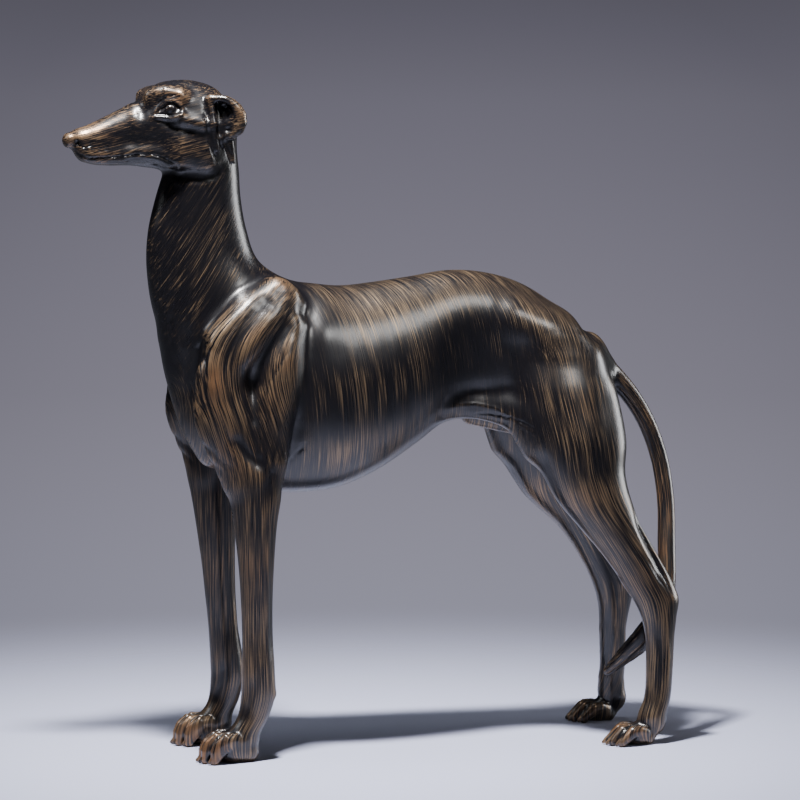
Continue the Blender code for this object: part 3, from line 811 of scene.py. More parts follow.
@dataclass
class Forequarters(SubAssembly):
    """Shoulder blades, upper arms and forelegs."""

    stance: Stance
    leg: Rows = ((13, -110, -93.6, 0, 7.4), (24, -104.6, -88.6, 0, 7.0),
                 (34, -102.9, -85.6, 0, 7.5), (46, -102.6, -85.7, 0, 7.3),
                 (62, -102.3, -86.6, 0, 6.7), (80, -102.8, -86.8, 0, 7.2),
                 (100, -104, -86, 0, 8.2), (120, -106.4, -84.4, 0, 9.2),
                 (136, -108.6, -82, 0, 9.6), (150, -109, -82, -1, 8.6), (166, -104, -88, -2, 5))
    gold_and_painted_light_spots: Rows = (  # copper on the muscle crests, dark in the armpit
        (-80, 238, 6, 5, 0.22, 0.8), (-103, 226, 8, 8, -0.05, 0.2), (-95, 213, 9, 10, 0.18, 0.5),
        (-80, 206, 6, 9, 0.14, 0.4), (-118, 190, 4, 12, 0.30, 0.7),
        (-112, 172, 5, 12, 0.20, 0.5), (-90, 180, 8, 10, 0.10, 0.3),
        (-105, 152, 8, 10, 0.20, 0.5), (-84, 156, 8, 9, -0.22), (-85, 226, 4, 6, -0.12),
        (-96, 100, 9, 34, 0.10, 0.2))

    def leg_column(self, side: Side) -> Column:
        """The foreleg of one side.

        Args:
            side: left or right.

        Returns:
            Its column, leaning forward on the right.
        """
        left = side is Side.LEFT
        y = self.stance.half_fore + self.stance.sway / (2.0 if left else -2.0)
        return Column(2, stood_at(y, self.leg), Region.FORELEG, side, 8.0, cap=4.0,
                      lean=None if left else self.stance.fore_lean, grain=1.6)

    def forms(self) -> List[Form]:
        """Blade, upper arm, triceps and the two legs."""
        both = Side.BOTH
        where = Region.SHOULDER
        return [
            Limb([(-78, 20, 233, 8, 12), (-92, 25, 219, 10, 16), (-108, 27, 203, 10.5, 15),
                  (-114.5, 27.5, 192, 8.5, 10)], where, both, 7.0, grain=1.6),
            Limb([(-115, 26.5, 196, 8, 10.5), (-112, 28, 181, 9.5, 15.8),
                  (-104.6, 29, 163, 9, 17.2), (-98, 28.6, 145, 8, 14.2)], where, both, 7.0,
                 grain=1.5),
            Limb([(-76, 24, 218, 8, 10), (-80, 29, 196, 9, 12), (-85, 31, 172, 8, 10),
                  (-86.5, 31, 153, 6, 7)], where, both, 5.0, grain=1.6),
            self.leg_column(Side.LEFT),
            self.leg_column(Side.RIGHT),
        ]

    def carving(self) -> List[Stroke]:
        """Valleys and ridges of the shoulder muscles."""
        return [
            Stroke([(-87.6, 235), (-98, 222.4), (-106, 212.6), (-111, 202.7), (-113.5, 195)],
                   3.0, 1.0, inner=12.0),
            Stroke([(-74.4, 225), (-80.9, 217.3), (-89, 208.8), (-97.1, 199.5), (-101, 191)],
                   3.6, 1.1, inner=12.0),
            Stroke([(-92.2, 239), (-102.6, 229.6), (-111.3, 221.6), (-118, 213.9),
                    (-121, 207)], 3.6, -0.8, inner=10.0),
            Stroke([(-79.6, 235.5), (-83.2, 226.8), (-92.6, 217.3), (-99, 209),
                    (-105.5, 199)], 3.6, -0.7, inner=12.0),
            Stroke([(-71.1, 217), (-77.9, 208.1), (-85.7, 198.5), (-91.2, 188.7),
                    (-93.2, 177)], 3.8, -0.7, inner=14.0),
            Stroke([(-76, 235), (-73.6, 228), (-73.4, 221), (-74.2, 214)], 3.4, -0.7, inner=12.0),
            dimple((-88.6, 30, 229.6), 4.2, 1.0),
            Stroke([(-97, 190), (-99.5, 180), (-98, 168)], 3.2, 0.5, inner=14.0),
            Stroke([(-119.6, 194), (-118.4, 186.6), (-114.5, 176), (-109.6, 162),
                    (-107, 150)], 3.4, -0.7, inner=12.0),
            Stroke([(-110, 166), (-101.5, 156), (-93, 148)], 3.0, 1.3, inner=14.0),
        ]

    def engraving(self) -> List[Stroke]:
        """Fine muscle seams, the shoulder's front edge, carpal pads and tendons."""
        return [
            Stroke([(-119.4, 216), (-121.6, 207), (-122.3, 195), (-122.3, 186), (-121.0, 178)],
                   1.2, 1.3, inner=9.0, sharp=True, gilt=-0.5),
            Stroke([(-103, 224.5), (-110.5, 215), (-115.5, 206)], 1.1, 0.55, inner=14.0,
                   sharp=True),
            Stroke([(-98, 227), (-106.0, 216.4), (-112.6, 204)], 1.0, 0.4, inner=14.0),
            Stroke([(-86.0, 222.5), (-93.0, 214), (-101, 203.6)], 1.1, 0.5, inner=14.0,
                   sharp=True),
            Stroke([(-76.5, 211), (-83, 203), (-90, 192), (-92.4, 182)], 1.2, 0.5, inner=16.0,
                   sharp=True),
            Stroke([(-84, 231), (-82, 236), (-77, 237.5), (-73.4, 232)], 1.8, 0.6, inner=10.0),
            Stroke([(-116.4, 178.1), (-113.3, 168), (-108.8, 159.2), (-106.3, 149.1)],
                   1.1, 0.6, inner=16.0, sharp=True),
            Stroke([(-101, 172), (-98, 160), (-93.6, 150)], 1.3, 0.5, inner=18.0),
            Stroke([(-86.8, 150), (-91.5, 140), (-93, 126)], 1.6, 0.6, inner=16.0),
            Stroke([(-68.6, 160.3), (-73.9, 154.2), (-79.1, 148.6)], 1.3, 1.0, inner=14.0,
                   sharp=True),
            Stroke([(-96.5, 138), (-96.8, 110), (-95.6, 80), (-95.2, 54)], 1.6, 0.4, inner=14.0),
            Stroke([(-88.6, 128), (-89, 100), (-88.8, 70), (-88.4, 44)], 1.2, 0.4, inner=14.0),
            Stroke([(-98.5, 44), (-100, 32), (-103, 22)], 1.3, 0.4, inner=14.0),
            dimple((-86.2, 34.6), 2.0, -0.7),
        ]


@dataclass
class Hindquarters(SubAssembly):
    """Thighs, second thighs, hocks, the fold of the flank and the sheath."""

    stance: Stance
    leg: Rows = ((14, 105.4, 120.6, 0.2, 7.0), (24, 109.0, 123.0, -0.4, 6.2),
                 (40, 110.6, 124.8, -1.6, 6.0), (56, 110.4, 126.0, -2.6, 6.2),
                 (66, 108.4, 127.4, -3.2, 6.6), (75, 103.8, 128.8, -3.8, 6.8),
                 (84, 97.8, 125.6, -4.6, 7.0), (97, 89.4, 118.4, -5.8, 8.0),
                 (110, 78.6, 111.2, -7.4, 9.8), (124, 66.0, 105.2, -9.4, 12.2),
                 (140, 57.4, 101.8, -12.0, 15.0), (156, 51.0, 103.2, -14.6, 17.0),
                 (172, 47.0, 101.6, -17.6, 16.6), (188, 46.0, 97.6, -20.4, 15.0),
                 (200, 50.0, 91.0, -24.0, 13.0), (214, 56.0, 80.0, -30.0, 9.0))
    gold_and_painted_light_spots: Rows = (  # gold on the thigh and strongest below it
        (64, 196, 10, 22, 0.12), (76, 176, 8, 14, 0.12, 0.4), (51, 220, 7, 6, 0.24),
        (75, 129, 13, 10, 0.38, 0.2), (86, 116, 7, 7, 0.18), (101, 172, 5, 26, -0.35),
        (90, 198, 6, 10, -0.12), (52, 168, 6, 10, -0.3), (98, 84, 10, 12, 0.12, 0.3),
        (58, 148, 5, 8, -0.1))

    def leg_column(self, side: Side) -> Column:
        """The hind leg of one side.

        Args:
            side: left or right.

        Returns:
            Its column, leaning back on the right.
        """
        left = side is Side.LEFT
        y = self.stance.half_hind + (self.stance.sway if left else -self.stance.sway)
        return Column(2, stood_at(y, self.leg), Region.HINDLEG, side, 9.0, cap=9.0,
                      lean=None if left else self.stance.hind_lean)

    def forms(self) -> List[Form]:
        """Two legs, the folds of skin before them, the croup and the sheath."""
        out: List[Form] = [self.leg_column(Side.LEFT), self.leg_column(Side.RIGHT)]
        out.append(Limb([(12, 12, 176.4, 5, 6), (30, 13, 175, 6, 7), (48, 18.6, 169.6, 7, 9),
                         (58, 23, 156, 8, 10)], Region.TRUNK, Side.BOTH, 9.0, grain=1.7))
        out.append(Limb([(46, 13, 217, 12, 12), (64, 17, 209, 12, 13), (82, 17, 197, 10, 12)],
                        Region.TRUNK, Side.BOTH, 8.0))
        out.append(Limb([(28, 0, 169.6, 4.4, 5.0), (38, 0, 168.4, 5.4, 6.2),
                         (52, 0, 166, 6, 7)], Region.TRUNK, Side.MIDDLE, 5.0, grain=1.2))
        return out

    def carving(self) -> List[Stroke]:
        """Hollow in front of the heel tendon."""
        return [
            Stroke([(104, 120), (109, 107), (114.5, 95), (119.5, 84)], 2.2, 1.5, Side.LEFT,
                   inner=18.0),
            Stroke([(110, 120), (115.5, 107), (121, 95), (124.5, 84)], 2.2, 1.5, Side.RIGHT,
                   inner=18.0),
            Stroke([(88, 186), (90, 168), (86, 150), (84, 134)], 6.0, 0.7, inner=18.0),
        ]

    def engraving(self) -> List[Stroke]:
        """Heel tendon, veins of the hock, front edge of the thigh, edge of the sheath."""
        return [
            Stroke([(103.4, 124), (108.6, 109.8), (113.6, 98.5), (118.7, 88.7), (122.6, 80)],
                   0.9, 1.0, Side.LEFT, inner=20.0, sharp=True, gilt=-0.5),
            Stroke([(105.9, 101), (111.4, 93.9), (116.1, 86.1), (122.5, 78.9)], 0.9, 0.7,
                   Side.LEFT, inner=20.0, sharp=True),
            Stroke([(83, 101.1), (92.2, 92.2), (101.4, 80.4), (107.8, 68.4)], 1.0, 0.6,
                   Side.LEFT, inner=20.0, sharp=True),
            Stroke([(115, 62), (116.5, 44), (115, 26)], 1.4, 0.4, inner=22.0),
            Stroke([(119.6, 64), (121, 46), (119.6, 28)], 1.0, -0.35, inner=22.0),
            Stroke([(54.6, 152), (59.6, 138), (66.4, 124), (77, 112.6)], 1.5, 0.6, inner=18.0),
            Stroke([(8.6, 174.4), (16, 176), (24.1, 176.4), (34.9, 174.2), (43.1, 169.4),
                    (50.6, 162)], 1.1, -0.45, inner=7.0, gilt=0.2),
            Stroke([(22.6, 171), (31.3, 171.6), (42.3, 169.6), (52, 164)], 0.9, 0.9,
                   inner=2.4, sharp=True, gilt=-0.5),
            dimple((124.0, 75.6), 2.2, -0.5),
        ]


@dataclass
class Paw(SubAssembly):
    """One paw: a pad with four arched toes, each with a claw."""

    side: Side
    region: Region
    x: float
    y: float
    rise: float
    tip_rise: float
    spread: float = 5.0         # from the middle of one toe to the next
    set_back: float = 3.4       # how far each toe stands behind the one inside it
    narrowing: float = 0.7      # how much closer the toes stand at their roots
    toe_places: Tuple[float, ...] = (-1.5, -0.5, 0.5, 1.5)
    cleft_places: Tuple[float, ...] = (-1.0, 0.0, 1.0)

    def toe_line(self, place: float) -> List[Tuple[float, ...]]:
        """Stations of one toe, from its root over the knuckle to the tip.

        Args:
            place: where the toe stands, in steps from the middle of the paw.

        Returns:
            Rows for a limb.
        """
        x = self.x + self.set_back * (abs(place) - 0.5)
        y = self.y + place * self.spread
        low = self.y + place * self.spread * self.narrowing
        up, tip = self.rise, self.tip_rise
        return [(x + 1, low, 9.6 * up, 2.6, 3.8 * up), (x - 5.6, y, 10.9 * up, 2.9, 4.1 * up),
                (x - 10.6, y, 6.8 * tip, 2.7, 3.6 * tip), (x - 12.4, y, 3.4, 2.4, 2.4)]

    def forms(self) -> List[Form]:
        """Pad, toes and claws."""
        x, y, up = self.x, self.y, self.rise
        out: List[Form] = [
            Limb([(x + 8.5 * up, y, 5.4 * up, 6.6, 5.2 * up), (x + 1, y, 7.6 * up, 8.6, 7.4 * up),
                  (x - 6, y, 7.0 * up, 7.3, 5.6 * up)], self.region, self.side, 4.0,
                 grain=1.0)]
        for place in self.toe_places:
            line = self.toe_line(place)
            out.append(Limb(line, self.region, self.side, 1.0, grain=0.62))
            end = line[-1]
            out.append(Limb([(end[0] - 1.2, end[1], 4.2, 0.95, 1.2),
                             (end[0] - 3.2, end[1], 2.3, 0.7, 0.9)],
                            self.region, self.side, 0.5, grain=0.5))
        return out

    def engraving(self) -> List[Stroke]:
        """The clefts between the toes."""
        out = []
        for place in self.cleft_places:
            back = self.set_back * max(0.0, abs(place) - 0.5)
            y = self.y + place * self.spread
            out.append(Stroke([(self.x + back + 1.5, y * 0.9 + self.y * 0.1, 13.2 * self.rise),
                               (self.x + back - 4.5, y, 13.4 * self.rise),
                               (self.x + back - 9.5, y, 8.6 * self.tip_rise),
                               (self.x + back - 12.2, y, 3.0)], 1.15, 1.1, self.side,
                              gilt=-0.9))
        return out

    def gilding(self) -> List[Spot]:
        """Copper on the knuckles, wherever the paw stands."""
        return [Spot(self.x - 10, 8, 7, 7, 0.12, 0.6)]


@dataclass
class Tail(SubAssembly):
    """Long tail, swept down to the inside of the left hock and forward from there."""

    radius: float = 4.4
    root: Rows = ((78, 0, 204, 11, 8.2), (90, 0, 198.4, 9, 7.2), (99, 0, 193, 6.2, 6.2))
    gold_and_painted_light_spots: Rows = (  # copper down its length
        (128, 120, 14, 40, 0.04, 0.6), (106, 45, 14, 14, -0.1))

    def limb(self) -> Limb:
        """The whole tail as one limb."""
        r = self.radius
        return Limb([(92, 0, 197.2, 7, 7.0), (100, 0, 193.2, 6.2, 6.4),
                     (110.6, -1, 184.2, 5.0, 5.2), (122.6, -3, 167.2, 4.4, 4.6),
                     (130.2, -6, 146, 4.4, 4.5), (132.2, -11, 124, r, r + 0.1),
                     (130.0, -18, 101, r, r + 0.3), (127.6, -24.5, 80, r - 0.2, r + 0.3),
                     (123.5, -27, 66, 4.0, 6.0), (116.5, -26, 55.6, 3.6, 6.8),
                     (106, -22.5, 44.8, 2.9, 4.8), (96.5, -19, 35.4, 1.6, 2.4)],
                    Region.TAIL, Side.MIDDLE, 3.0, grain=1.3)

    def forms(self) -> List[Form]:
        """Root and tail."""
        return [Limb(self.root, Region.TRUNK, Side.MIDDLE, 7.0), self.limb()]

    def engraving(self) -> List[Stroke]:
        """A ridge along the end."""
        return [
            Stroke([(122, -30, 62), (113, -29, 51), (103, -25, 41), (97, -21, 35.6)], 1.2, -0.5,
                   Side.MIDDLE),
        ]


@dataclass
class Brushwork:
    """Turns each region's brush direction into stroke coordinates, in millimetres."""

    hind: Column
    fore: Column
    tail: Limb
    trunk: Column
    back_arc: float = 42.0      # radius that turns angles round the trunk into lengths
    slant: float = 26.0         # how far back the strokes of the trunk end up
    slant_reach: float = 55.0   # length over which they turn plumb
    apart: float = 20.0         # keeps the two sides' strokes from repeating each other
    muscle_line: Rows = ((130, -106), (150, -107), (170, -113), (186, -118), (200, -119),
                         (214, -114), (228, -101), (240, -88), (250, -84))

    def on_trunk(self, p: Array) -> Array:
        """Strokes that fall from the spine, slanting back and then plumb."""
        middle, half, _, wide = self.trunk.section(p[:, 0])
        turn = np.arctan2((p[:, 2] - middle) / half, np.abs(p[:, 1]) / wide)
        arc = (np.pi / 2.0 - turn) * self.back_arc
        slant = self.slant * (1.0 - np.exp(-arc / self.slant_reach))
        return np.stack([p[:, 0] - slant, np.sign(p[:, 1]) * self.apart, arc], axis=1)

    def slanted(self, p: Array, degrees: float) -> Array:
        """Strokes in the side plane, leaning by so many degrees from plumb."""
        a = math.radians(degrees)
        return np.stack([p[:, 0] * math.cos(a) - p[:, 2] * math.sin(a), p[:, 1],
                         p[:, 0] * math.sin(a) + p[:, 2] * math.cos(a)], axis=1)

    def down(self, leg: Column, p: Array) -> Array:
        """Strokes that run down a leg beside the middle of its sides."""
        middle, half, y, wide = leg.section(p[:, 2])
        ahead = (p[:, 0] - middle) / half
        out = np.abs(np.abs(p[:, 1]) - y) / wide
        around = np.arctan2(ahead, out) * np.sqrt(half * wide)
        return np.stack([around, np.sign(p[:, 1]) * self.apart, p[:, 2]], axis=1)

    def coordinates(self, region: Region, p: Array) -> Array:
        """Stroke coordinates of points as the given region lays them.

        Args:
            region: whose brush direction is used.
            p: points.

        Returns:
            Across, second across and lengthwise, one row for each point.
        """
        if region is Region.TRUNK:
            return self.on_trunk(p)
        if region is Region.NECK:
            return self.slanted(p, 33.0) * (1.1, 0.15, 1.0)
        if region is Region.HEAD:
            return self.slanted(p, 76.0) * (1.0, 0.4, 1.0)
        if region is Region.FORELEG:
            return self.down(self.fore, p)
        if region is Region.HINDLEG:
            return self.down(self.hind, p)
        if region is Region.SHOULDER:
            heights, places = np.array(self.muscle_line, float).T
            across = p[:, 0] - along(heights, places[:, None], p[:, 2], True)[:, 0]
            return np.stack([across, 0.15 * p[:, 1], p[:, 2]], axis=1)
        u, v, _, _, run = self.tail.polar(p)
        return np.stack([u, v, run], axis=1)


@dataclass
class Casting:
    """Blends all forms into one skin, refines it where it is fine and cuts the lines."""

    parts: List[SubAssembly]
    sole_depth: float
    voxel: float = 1.75         # size of the skin's faces before they are halved
    levels: int = 2             # how often they may be halved
    slack: float = 1.5          # how many times longer than wanted an edge may stay
    least_edge: float = 0.4     # no stroke asks for shorter edges
    edges_across: float = 1.25  # edges to the width of a stroke
    stroke_reach: float = 2.0   # widths round a stroke that get these edges
    groove_gold: float = -0.35  # gold that a fine groove keeps off
    valley_gold: float = -0.06  # gold for each millimetre of a broad valley
    deepest: float = 2.0        # fine lines cut no deeper than this
    highest: float = 1.6        # nor stand up more
    TRUSTED: ClassVar[float] = 0.5  # slope above which a distance is taken as it is
    LOST: ClassVar[float] = 0.2     # slope below which a vertex stays where it is
    NEAR: ClassVar[float] = 1.2     # a form's own skin lies within this distance
    SMOOTHINGS: ClassVar[Tuple[int, ...]] = (8, 30)  # turns before each roundness is taken
    SMOOTHING: ClassVar[float] = 0.6                 # share of the neighbours in each turn
    PROUD: ClassVar[Tuple[str, ...]] = ("proud_narrow", "proud_wide")
    forms: List[Form] = field(init=False)
    carving: List[Stroke] = field(init=False)
    engraving: List[Stroke] = field(init=False)

    def __post_init__(self) -> None:
        """Collects what the sub-assemblies give."""
        self.forms = [f for part in self.parts for f in part.forms()]
        self.carving = [s for part in self.parts for s in part.carving()]
        self.engraving = [s for part in self.parts for s in part.engraving()]

    def surface(self, points: Array) -> Array:
        """Signed distance of the blended, carved figure."""
        value = np.full(len(points), FAR_OFF)
        for form in self.forms:
            value = blended(value, form.distance(points), form.blend)
        for stroke in self.carving:
            value = value + stroke.depth * stroke.share(points)
        return value

    def rough(self) -> bpy.types.Mesh:
        """All forms as closed lofts that overlap where they meet."""
        bm = bmesh.new()
        for form in self.forms:
            for sign in form.side.signs:
                rings = [[bm.verts.new((x, y * sign, z)) for x, y, z in ring]
                         for ring in form.rings()]
                for a, b in zip(rings, rings[1:]):
                    for i in range(len(a)):
                        j = (i + 1) % len(a)
                        bm.faces.new((a[i], a[j], b[j], b[i]))
                bm.faces.new(rings[0][::-1])
                bm.faces.new(rings[-1])
        bmesh.ops.recalc_face_normals(bm, faces=bm.faces)
        mesh = bpy.data.meshes.new("rough_casting")
        bm.to_mesh(mesh)
        bm.free()
        return mesh

    def skinned(self, mesh: bpy.types.Mesh) -> bpy.types.Mesh:
        """One closed skin of even quads round the lofts.

        Args:
            mesh: the overlapping lofts.

        Returns:
            The new skin.
        """
        thing = linked("rough_casting", mesh)
        remesh = thing.modifiers.new("Skin", "REMESH")
        remesh.mode = "VOXEL"
        remesh.voxel_size = self.voxel
        remesh.adaptivity = 0.0
        graph = bpy.context.evaluated_depsgraph_get()
        skin = bpy.data.meshes.new_from_object(thing.evaluated_get(graph))
        bpy.data.objects.remove(thing)
        return skin

    @staticmethod
    def coordinates(mesh: bpy.types.Mesh) -> Array:
        """Places of the mesh's vertices."""
        flat = np.empty(len(mesh.vertices) * 3)
        mesh.vertices.foreach_get("co", flat)
        return flat.reshape(-1, 3)

    @staticmethod
    def normals(mesh: bpy.types.Mesh) -> Array:
        """Outward directions at the mesh's vertices."""
        flat = np.empty(len(mesh.vertices) * 3)
        mesh.vertex_normals.foreach_get("vector", flat)
        return flat.reshape(-1, 3)

    @staticmethod
    def neighbours(mesh: bpy.types.Mesh) -> Tuple[Array, Array, Array]:
        """Both ends of every edge, and how many edges each vertex has."""
        pairs = np.empty(len(mesh.edges) * 2, dtype=np.int64)
        mesh.edges.foreach_get("vertices", pairs)
        a, b = pairs.reshape(-1, 2).T
        count = len(mesh.vertices)
        links = np.bincount(a, minlength=count) + np.bincount(b, minlength=count)
        return a, b, np.maximum(links, 1)

    @staticmethod
    def averaged(values: Array, a: Array, b: Array, links: Array) -> Array:
        """Mean of each vertex's neighbours, column by column."""
        count = len(values)
        return np.stack([(np.bincount(a, values[b, k], count)
                          + np.bincount(b, values[a, k], count)) / links
                         for k in range(values.shape[1])], axis=1)

    @staticmethod
    def put(mesh: bpy.types.Mesh, points: Array) -> None:
        """Moves the mesh's vertices to the points."""
        mesh.vertices.foreach_set("co", points.ravel())
        mesh.update()

    def pressed(self, mesh: bpy.types.Mesh, turns: int, even: float, full: bool,
                only: Optional[Array] = None) -> None:
        """Moves vertices onto the surface, evening them out along it.

        Args:
            mesh: what is moved.
            turns: how many times.
            even: how strongly the vertices are evened out, from 0 to 1.
            full: whether slopes are taken along all three axes.
            only: the vertices that may move, or None for all.
        """
        points = self.coordinates(mesh)
        a, b, links = self.neighbours(mesh)
        chosen = np.arange(len(points)) if only is None else np.nonzero(only)[0]
        longest, probe = (2.5, 0.3) if full else (0.5, 0.25)
        for turn in range(turns):
            q = points[chosen]
            value = self.surface(q)
            if full:
                slope = np.stack([(self.surface(q + probe * unit) - value) / probe
                                  for unit in np.eye(3)], axis=1)
                size = np.linalg.norm(slope, axis=1)
                normal = slope / np.maximum(size, TINY)[:, None]
            else:
                self.put(mesh, points)
                normal = self.normals(mesh)[chosen]
                size = (self.surface(q + probe * normal) - value) / probe
            shift = np.clip(value / np.maximum(size, self.TRUSTED), -longest, longest)
            shift[size < self.LOST] = 0.0
            points[chosen] = q - normal * shift[:, None]
            if even and turn < turns - 1:
                pull = (self.averaged(points, a, b, links) - points)[chosen]
                pull -= normal * (pull * normal).sum(axis=1)[:, None]
                points[chosen] += even * pull
        self.put(mesh, points)

    def roundness(self, mesh: bpy.types.Mesh) -> Array:
        """How far each vertex stands proud of the smoothed skin round it.

        Args:
            mesh: the even skin.

        Returns:
            Millimetres, above nought on crests, for a narrow and a wide smoothing.
        """
        points = self.coordinates(mesh)
        normal = self.normals(mesh)
        a, b, links = self.neighbours(mesh)
        smooth = points.copy()
        out = []
        for turns in self.SMOOTHINGS:
            for _ in range(turns):
                mean = self.averaged(smooth, a, b, links)
                smooth = (1.0 - self.SMOOTHING) * smooth + self.SMOOTHING * mean
            out.append(((points - smooth) * normal).sum(axis=1))
        return np.stack(out, axis=1)

    def wanted_edge(self, points: Array) -> Array:
        """The edge length that the finest form or stroke near each point needs."""
        want = np.full(len(points), COARSE)
        for form in self.forms:
            if form.grain < self.voxel:
                near = form.distance(points) < self.NEAR
                want[near] = np.minimum(want[near], form.grain)
        for stroke in self.engraving:
            near, away, _ = stroke.nearness(points)
            close = np.zeros(len(points), dtype=bool)
            close[near] = away < self.stroke_reach * stroke.width
            edge = max(self.least_edge, stroke.width / self.edges_across)
            want[close] = np.minimum(want[close], edge)
        return want

    def refine(self, mesh: bpy.types.Mesh) -> None:
        """Halves the edges where the detail is finer than they are.

        Args:
            mesh: the skin, changed in place.
        """
        want = self.wanted_edge(self.coordinates(mesh))
        bm = bmesh.new()
        bm.from_mesh(mesh)
        bm.verts.ensure_lookup_table()
        chosen = []
        for face in bm.faces:
            need = min(want[v.index] for v in face.verts)
            size = math.sqrt(face.calc_area())
            if size > self.slack * need:
                chosen.append(face)
        edges = list({edge for face in chosen for edge in face.edges})
        old = len(bm.verts)
        bmesh.ops.subdivide_edges(bm, edges=edges, cuts=1, use_grid_fill=True)
        bm.to_mesh(mesh)
        bm.free()
        mesh.update()
        fresh = np.zeros(len(mesh.vertices), dtype=bool)
        fresh[old:] = True
        a, b, _ = self.neighbours(mesh)
        spread = fresh.copy()
        spread[a[fresh[b]]] = True
        spread[b[fresh[a]]] = True
        self.pressed(mesh, 3, 0.35, False, spread)

    def cut(self, mesh: bpy.types.Mesh) -> Array:
        """Cuts the fine lines and levels the soles.

        Args:
            mesh: the refined skin, changed in place.

        Returns:
            How much gold the lines give or take, by vertex.
        """
        points = self.coordinates(mesh)
        normal = self.normals(mesh)
        lift = np.zeros(len(points))
        gilt = np.zeros(len(points))
        for stroke in self.engraving:
            share = stroke.share(points)
            lift += stroke.depth * share
            gilt += (stroke.gilt or self.groove_gold * np.sign(stroke.depth)) * share
        for stroke in self.carving:
            gilt += (stroke.gilt or self.valley_gold * stroke.depth) * stroke.share(points)
        points = points - normal * np.clip(lift, -self.highest, self.deepest)[:, None]
        points[:, 2] = np.maximum(points[:, 2], self.sole_depth)
        self.put(mesh, points)
        return gilt

    def made(self) -> Tuple[bpy.types.Mesh, Array, Array]:
        """The whole skin, its roundness and its line gold.

        Returns:
            The mesh in millimetres, two rows of roundness and the lines' gold by vertex.
        """
        mesh = self.skinned(self.rough())
        LOG.info("skin: %d vertices", len(mesh.vertices))
        self.pressed(mesh, 4, 0.6, True)
        self.pressed(mesh, 3, 0.5, False)
        for name, column in zip(self.PROUD, self.roundness(mesh).T):
            mesh.attributes.new(name, "FLOAT", "POINT").data.foreach_set("value", column)
        for _ in range(self.levels):
            self.refine(mesh)
            LOG.info("refined: %d vertices, %d triangles", len(mesh.vertices),
                     sum(len(f.vertices) - 2 for f in mesh.polygons))
        proud = np.empty((len(self.PROUD), len(mesh.vertices)))
        for name, row in zip(self.PROUD, proud):
            mesh.attributes[name].data.foreach_get("value", row)
            mesh.attributes.remove(mesh.attributes[name])
        return mesh, proud, self.cut(mesh)


@dataclass
class Gilding:
    """Works out, by vertex, the stroke coordinates and how much gold lies there."""

    parts: List[SubAssembly]
    forms: List[Form]
    brushwork: Brushwork
    softness: float = 3.5   # millimetres over which one region runs into the next
    base_gold: Tuple[float, ...] = (0.27, 0.04, -0.04, 0.22, 0.20, 0.30, -0.04)
    base_copper: Tuple[float, ...] = (0.10, 0.40, 0.15, 0.25, 0.15, 0.30, 0.5)
    most_gilt: float = 0.82
    crest_gold: float = 0.55    # gold for each millimetre that a narrow crest stands proud
    swell_gold: float = 0.10    # the same for a broad swell

    def shares(self, points: Array) -> Array:
        """How far each point belongs to each region.

        Args:
            points: places in millimetres.

        Returns:
            One row for each point, one column for each region, adding up to 1.
        """
        nearest = np.full((len(points), len(Region)), FAR_OFF)
        for form in self.forms:
            column = form.region.value
            nearest[:, column] = np.minimum(nearest[:, column], form.distance(points))
        low = nearest.min(axis=1)[:, None]
        share = np.exp(-(nearest - low) / self.softness)
        return share / share.sum(axis=1)[:, None]

    def paint(self, mesh: bpy.types.Mesh, proud: Array, line_gold: Array) -> None:
        """Writes the attributes that the finish reads.

        Args:
            mesh: the skin in millimetres.
            proud: roundness by vertex, a row for narrow and a row for broad forms.
            line_gold: gold of the engraved lines by vertex.
        """
        points = Casting.coordinates(mesh)
        share = self.shares(points)
        layers = np.zeros((3, len(points)))
        for layer in range(3):
            regions = [r for r in Region if r.layer == layer]
            most = share[:, [r.value for r in regions]].max(axis=1)
            coordinates = np.zeros((len(points), 3))
            for region in regions:
                mine = share[:, region.value] >= most
                coordinates[mine] = self.brushwork.coordinates(region, points[mine])
                layers[layer] += share[:, region.value]
            made = mesh.attributes.new(f"strokes_{'abc'[layer]}", "FLOAT_VECTOR", "POINT")
            made.data.foreach_set("vector", coordinates.ravel())
        gilt = share @ np.array(self.base_gold)
        copper = share @ np.array(self.base_copper)
        # Spots add and take gold; on the trunk and head some of this is painted highlight and
        # shade.
        for spot in (s for part in self.parts for s in part.gilding()):
            felt = spot.share(points)
            gilt += spot.gilt * felt
            copper += spot.copper * felt
        narrow, broad = proud
        gilt += np.clip(self.crest_gold * narrow, -0.3, 0.2)
        gilt += np.clip(self.swell_gold * broad, -0.2, 0.2) + line_gold
        for name, values, most in (("gilt", gilt, self.most_gilt), ("copper", copper, 1.0)):
            made = mesh.attributes.new(name, "FLOAT", "POINT")
            made.data.foreach_set("value", np.clip(values, 0.0, most))
        made = mesh.attributes.new("shares", "FLOAT_VECTOR", "POINT")
        made.data.foreach_set("vector", layers.T.ravel())


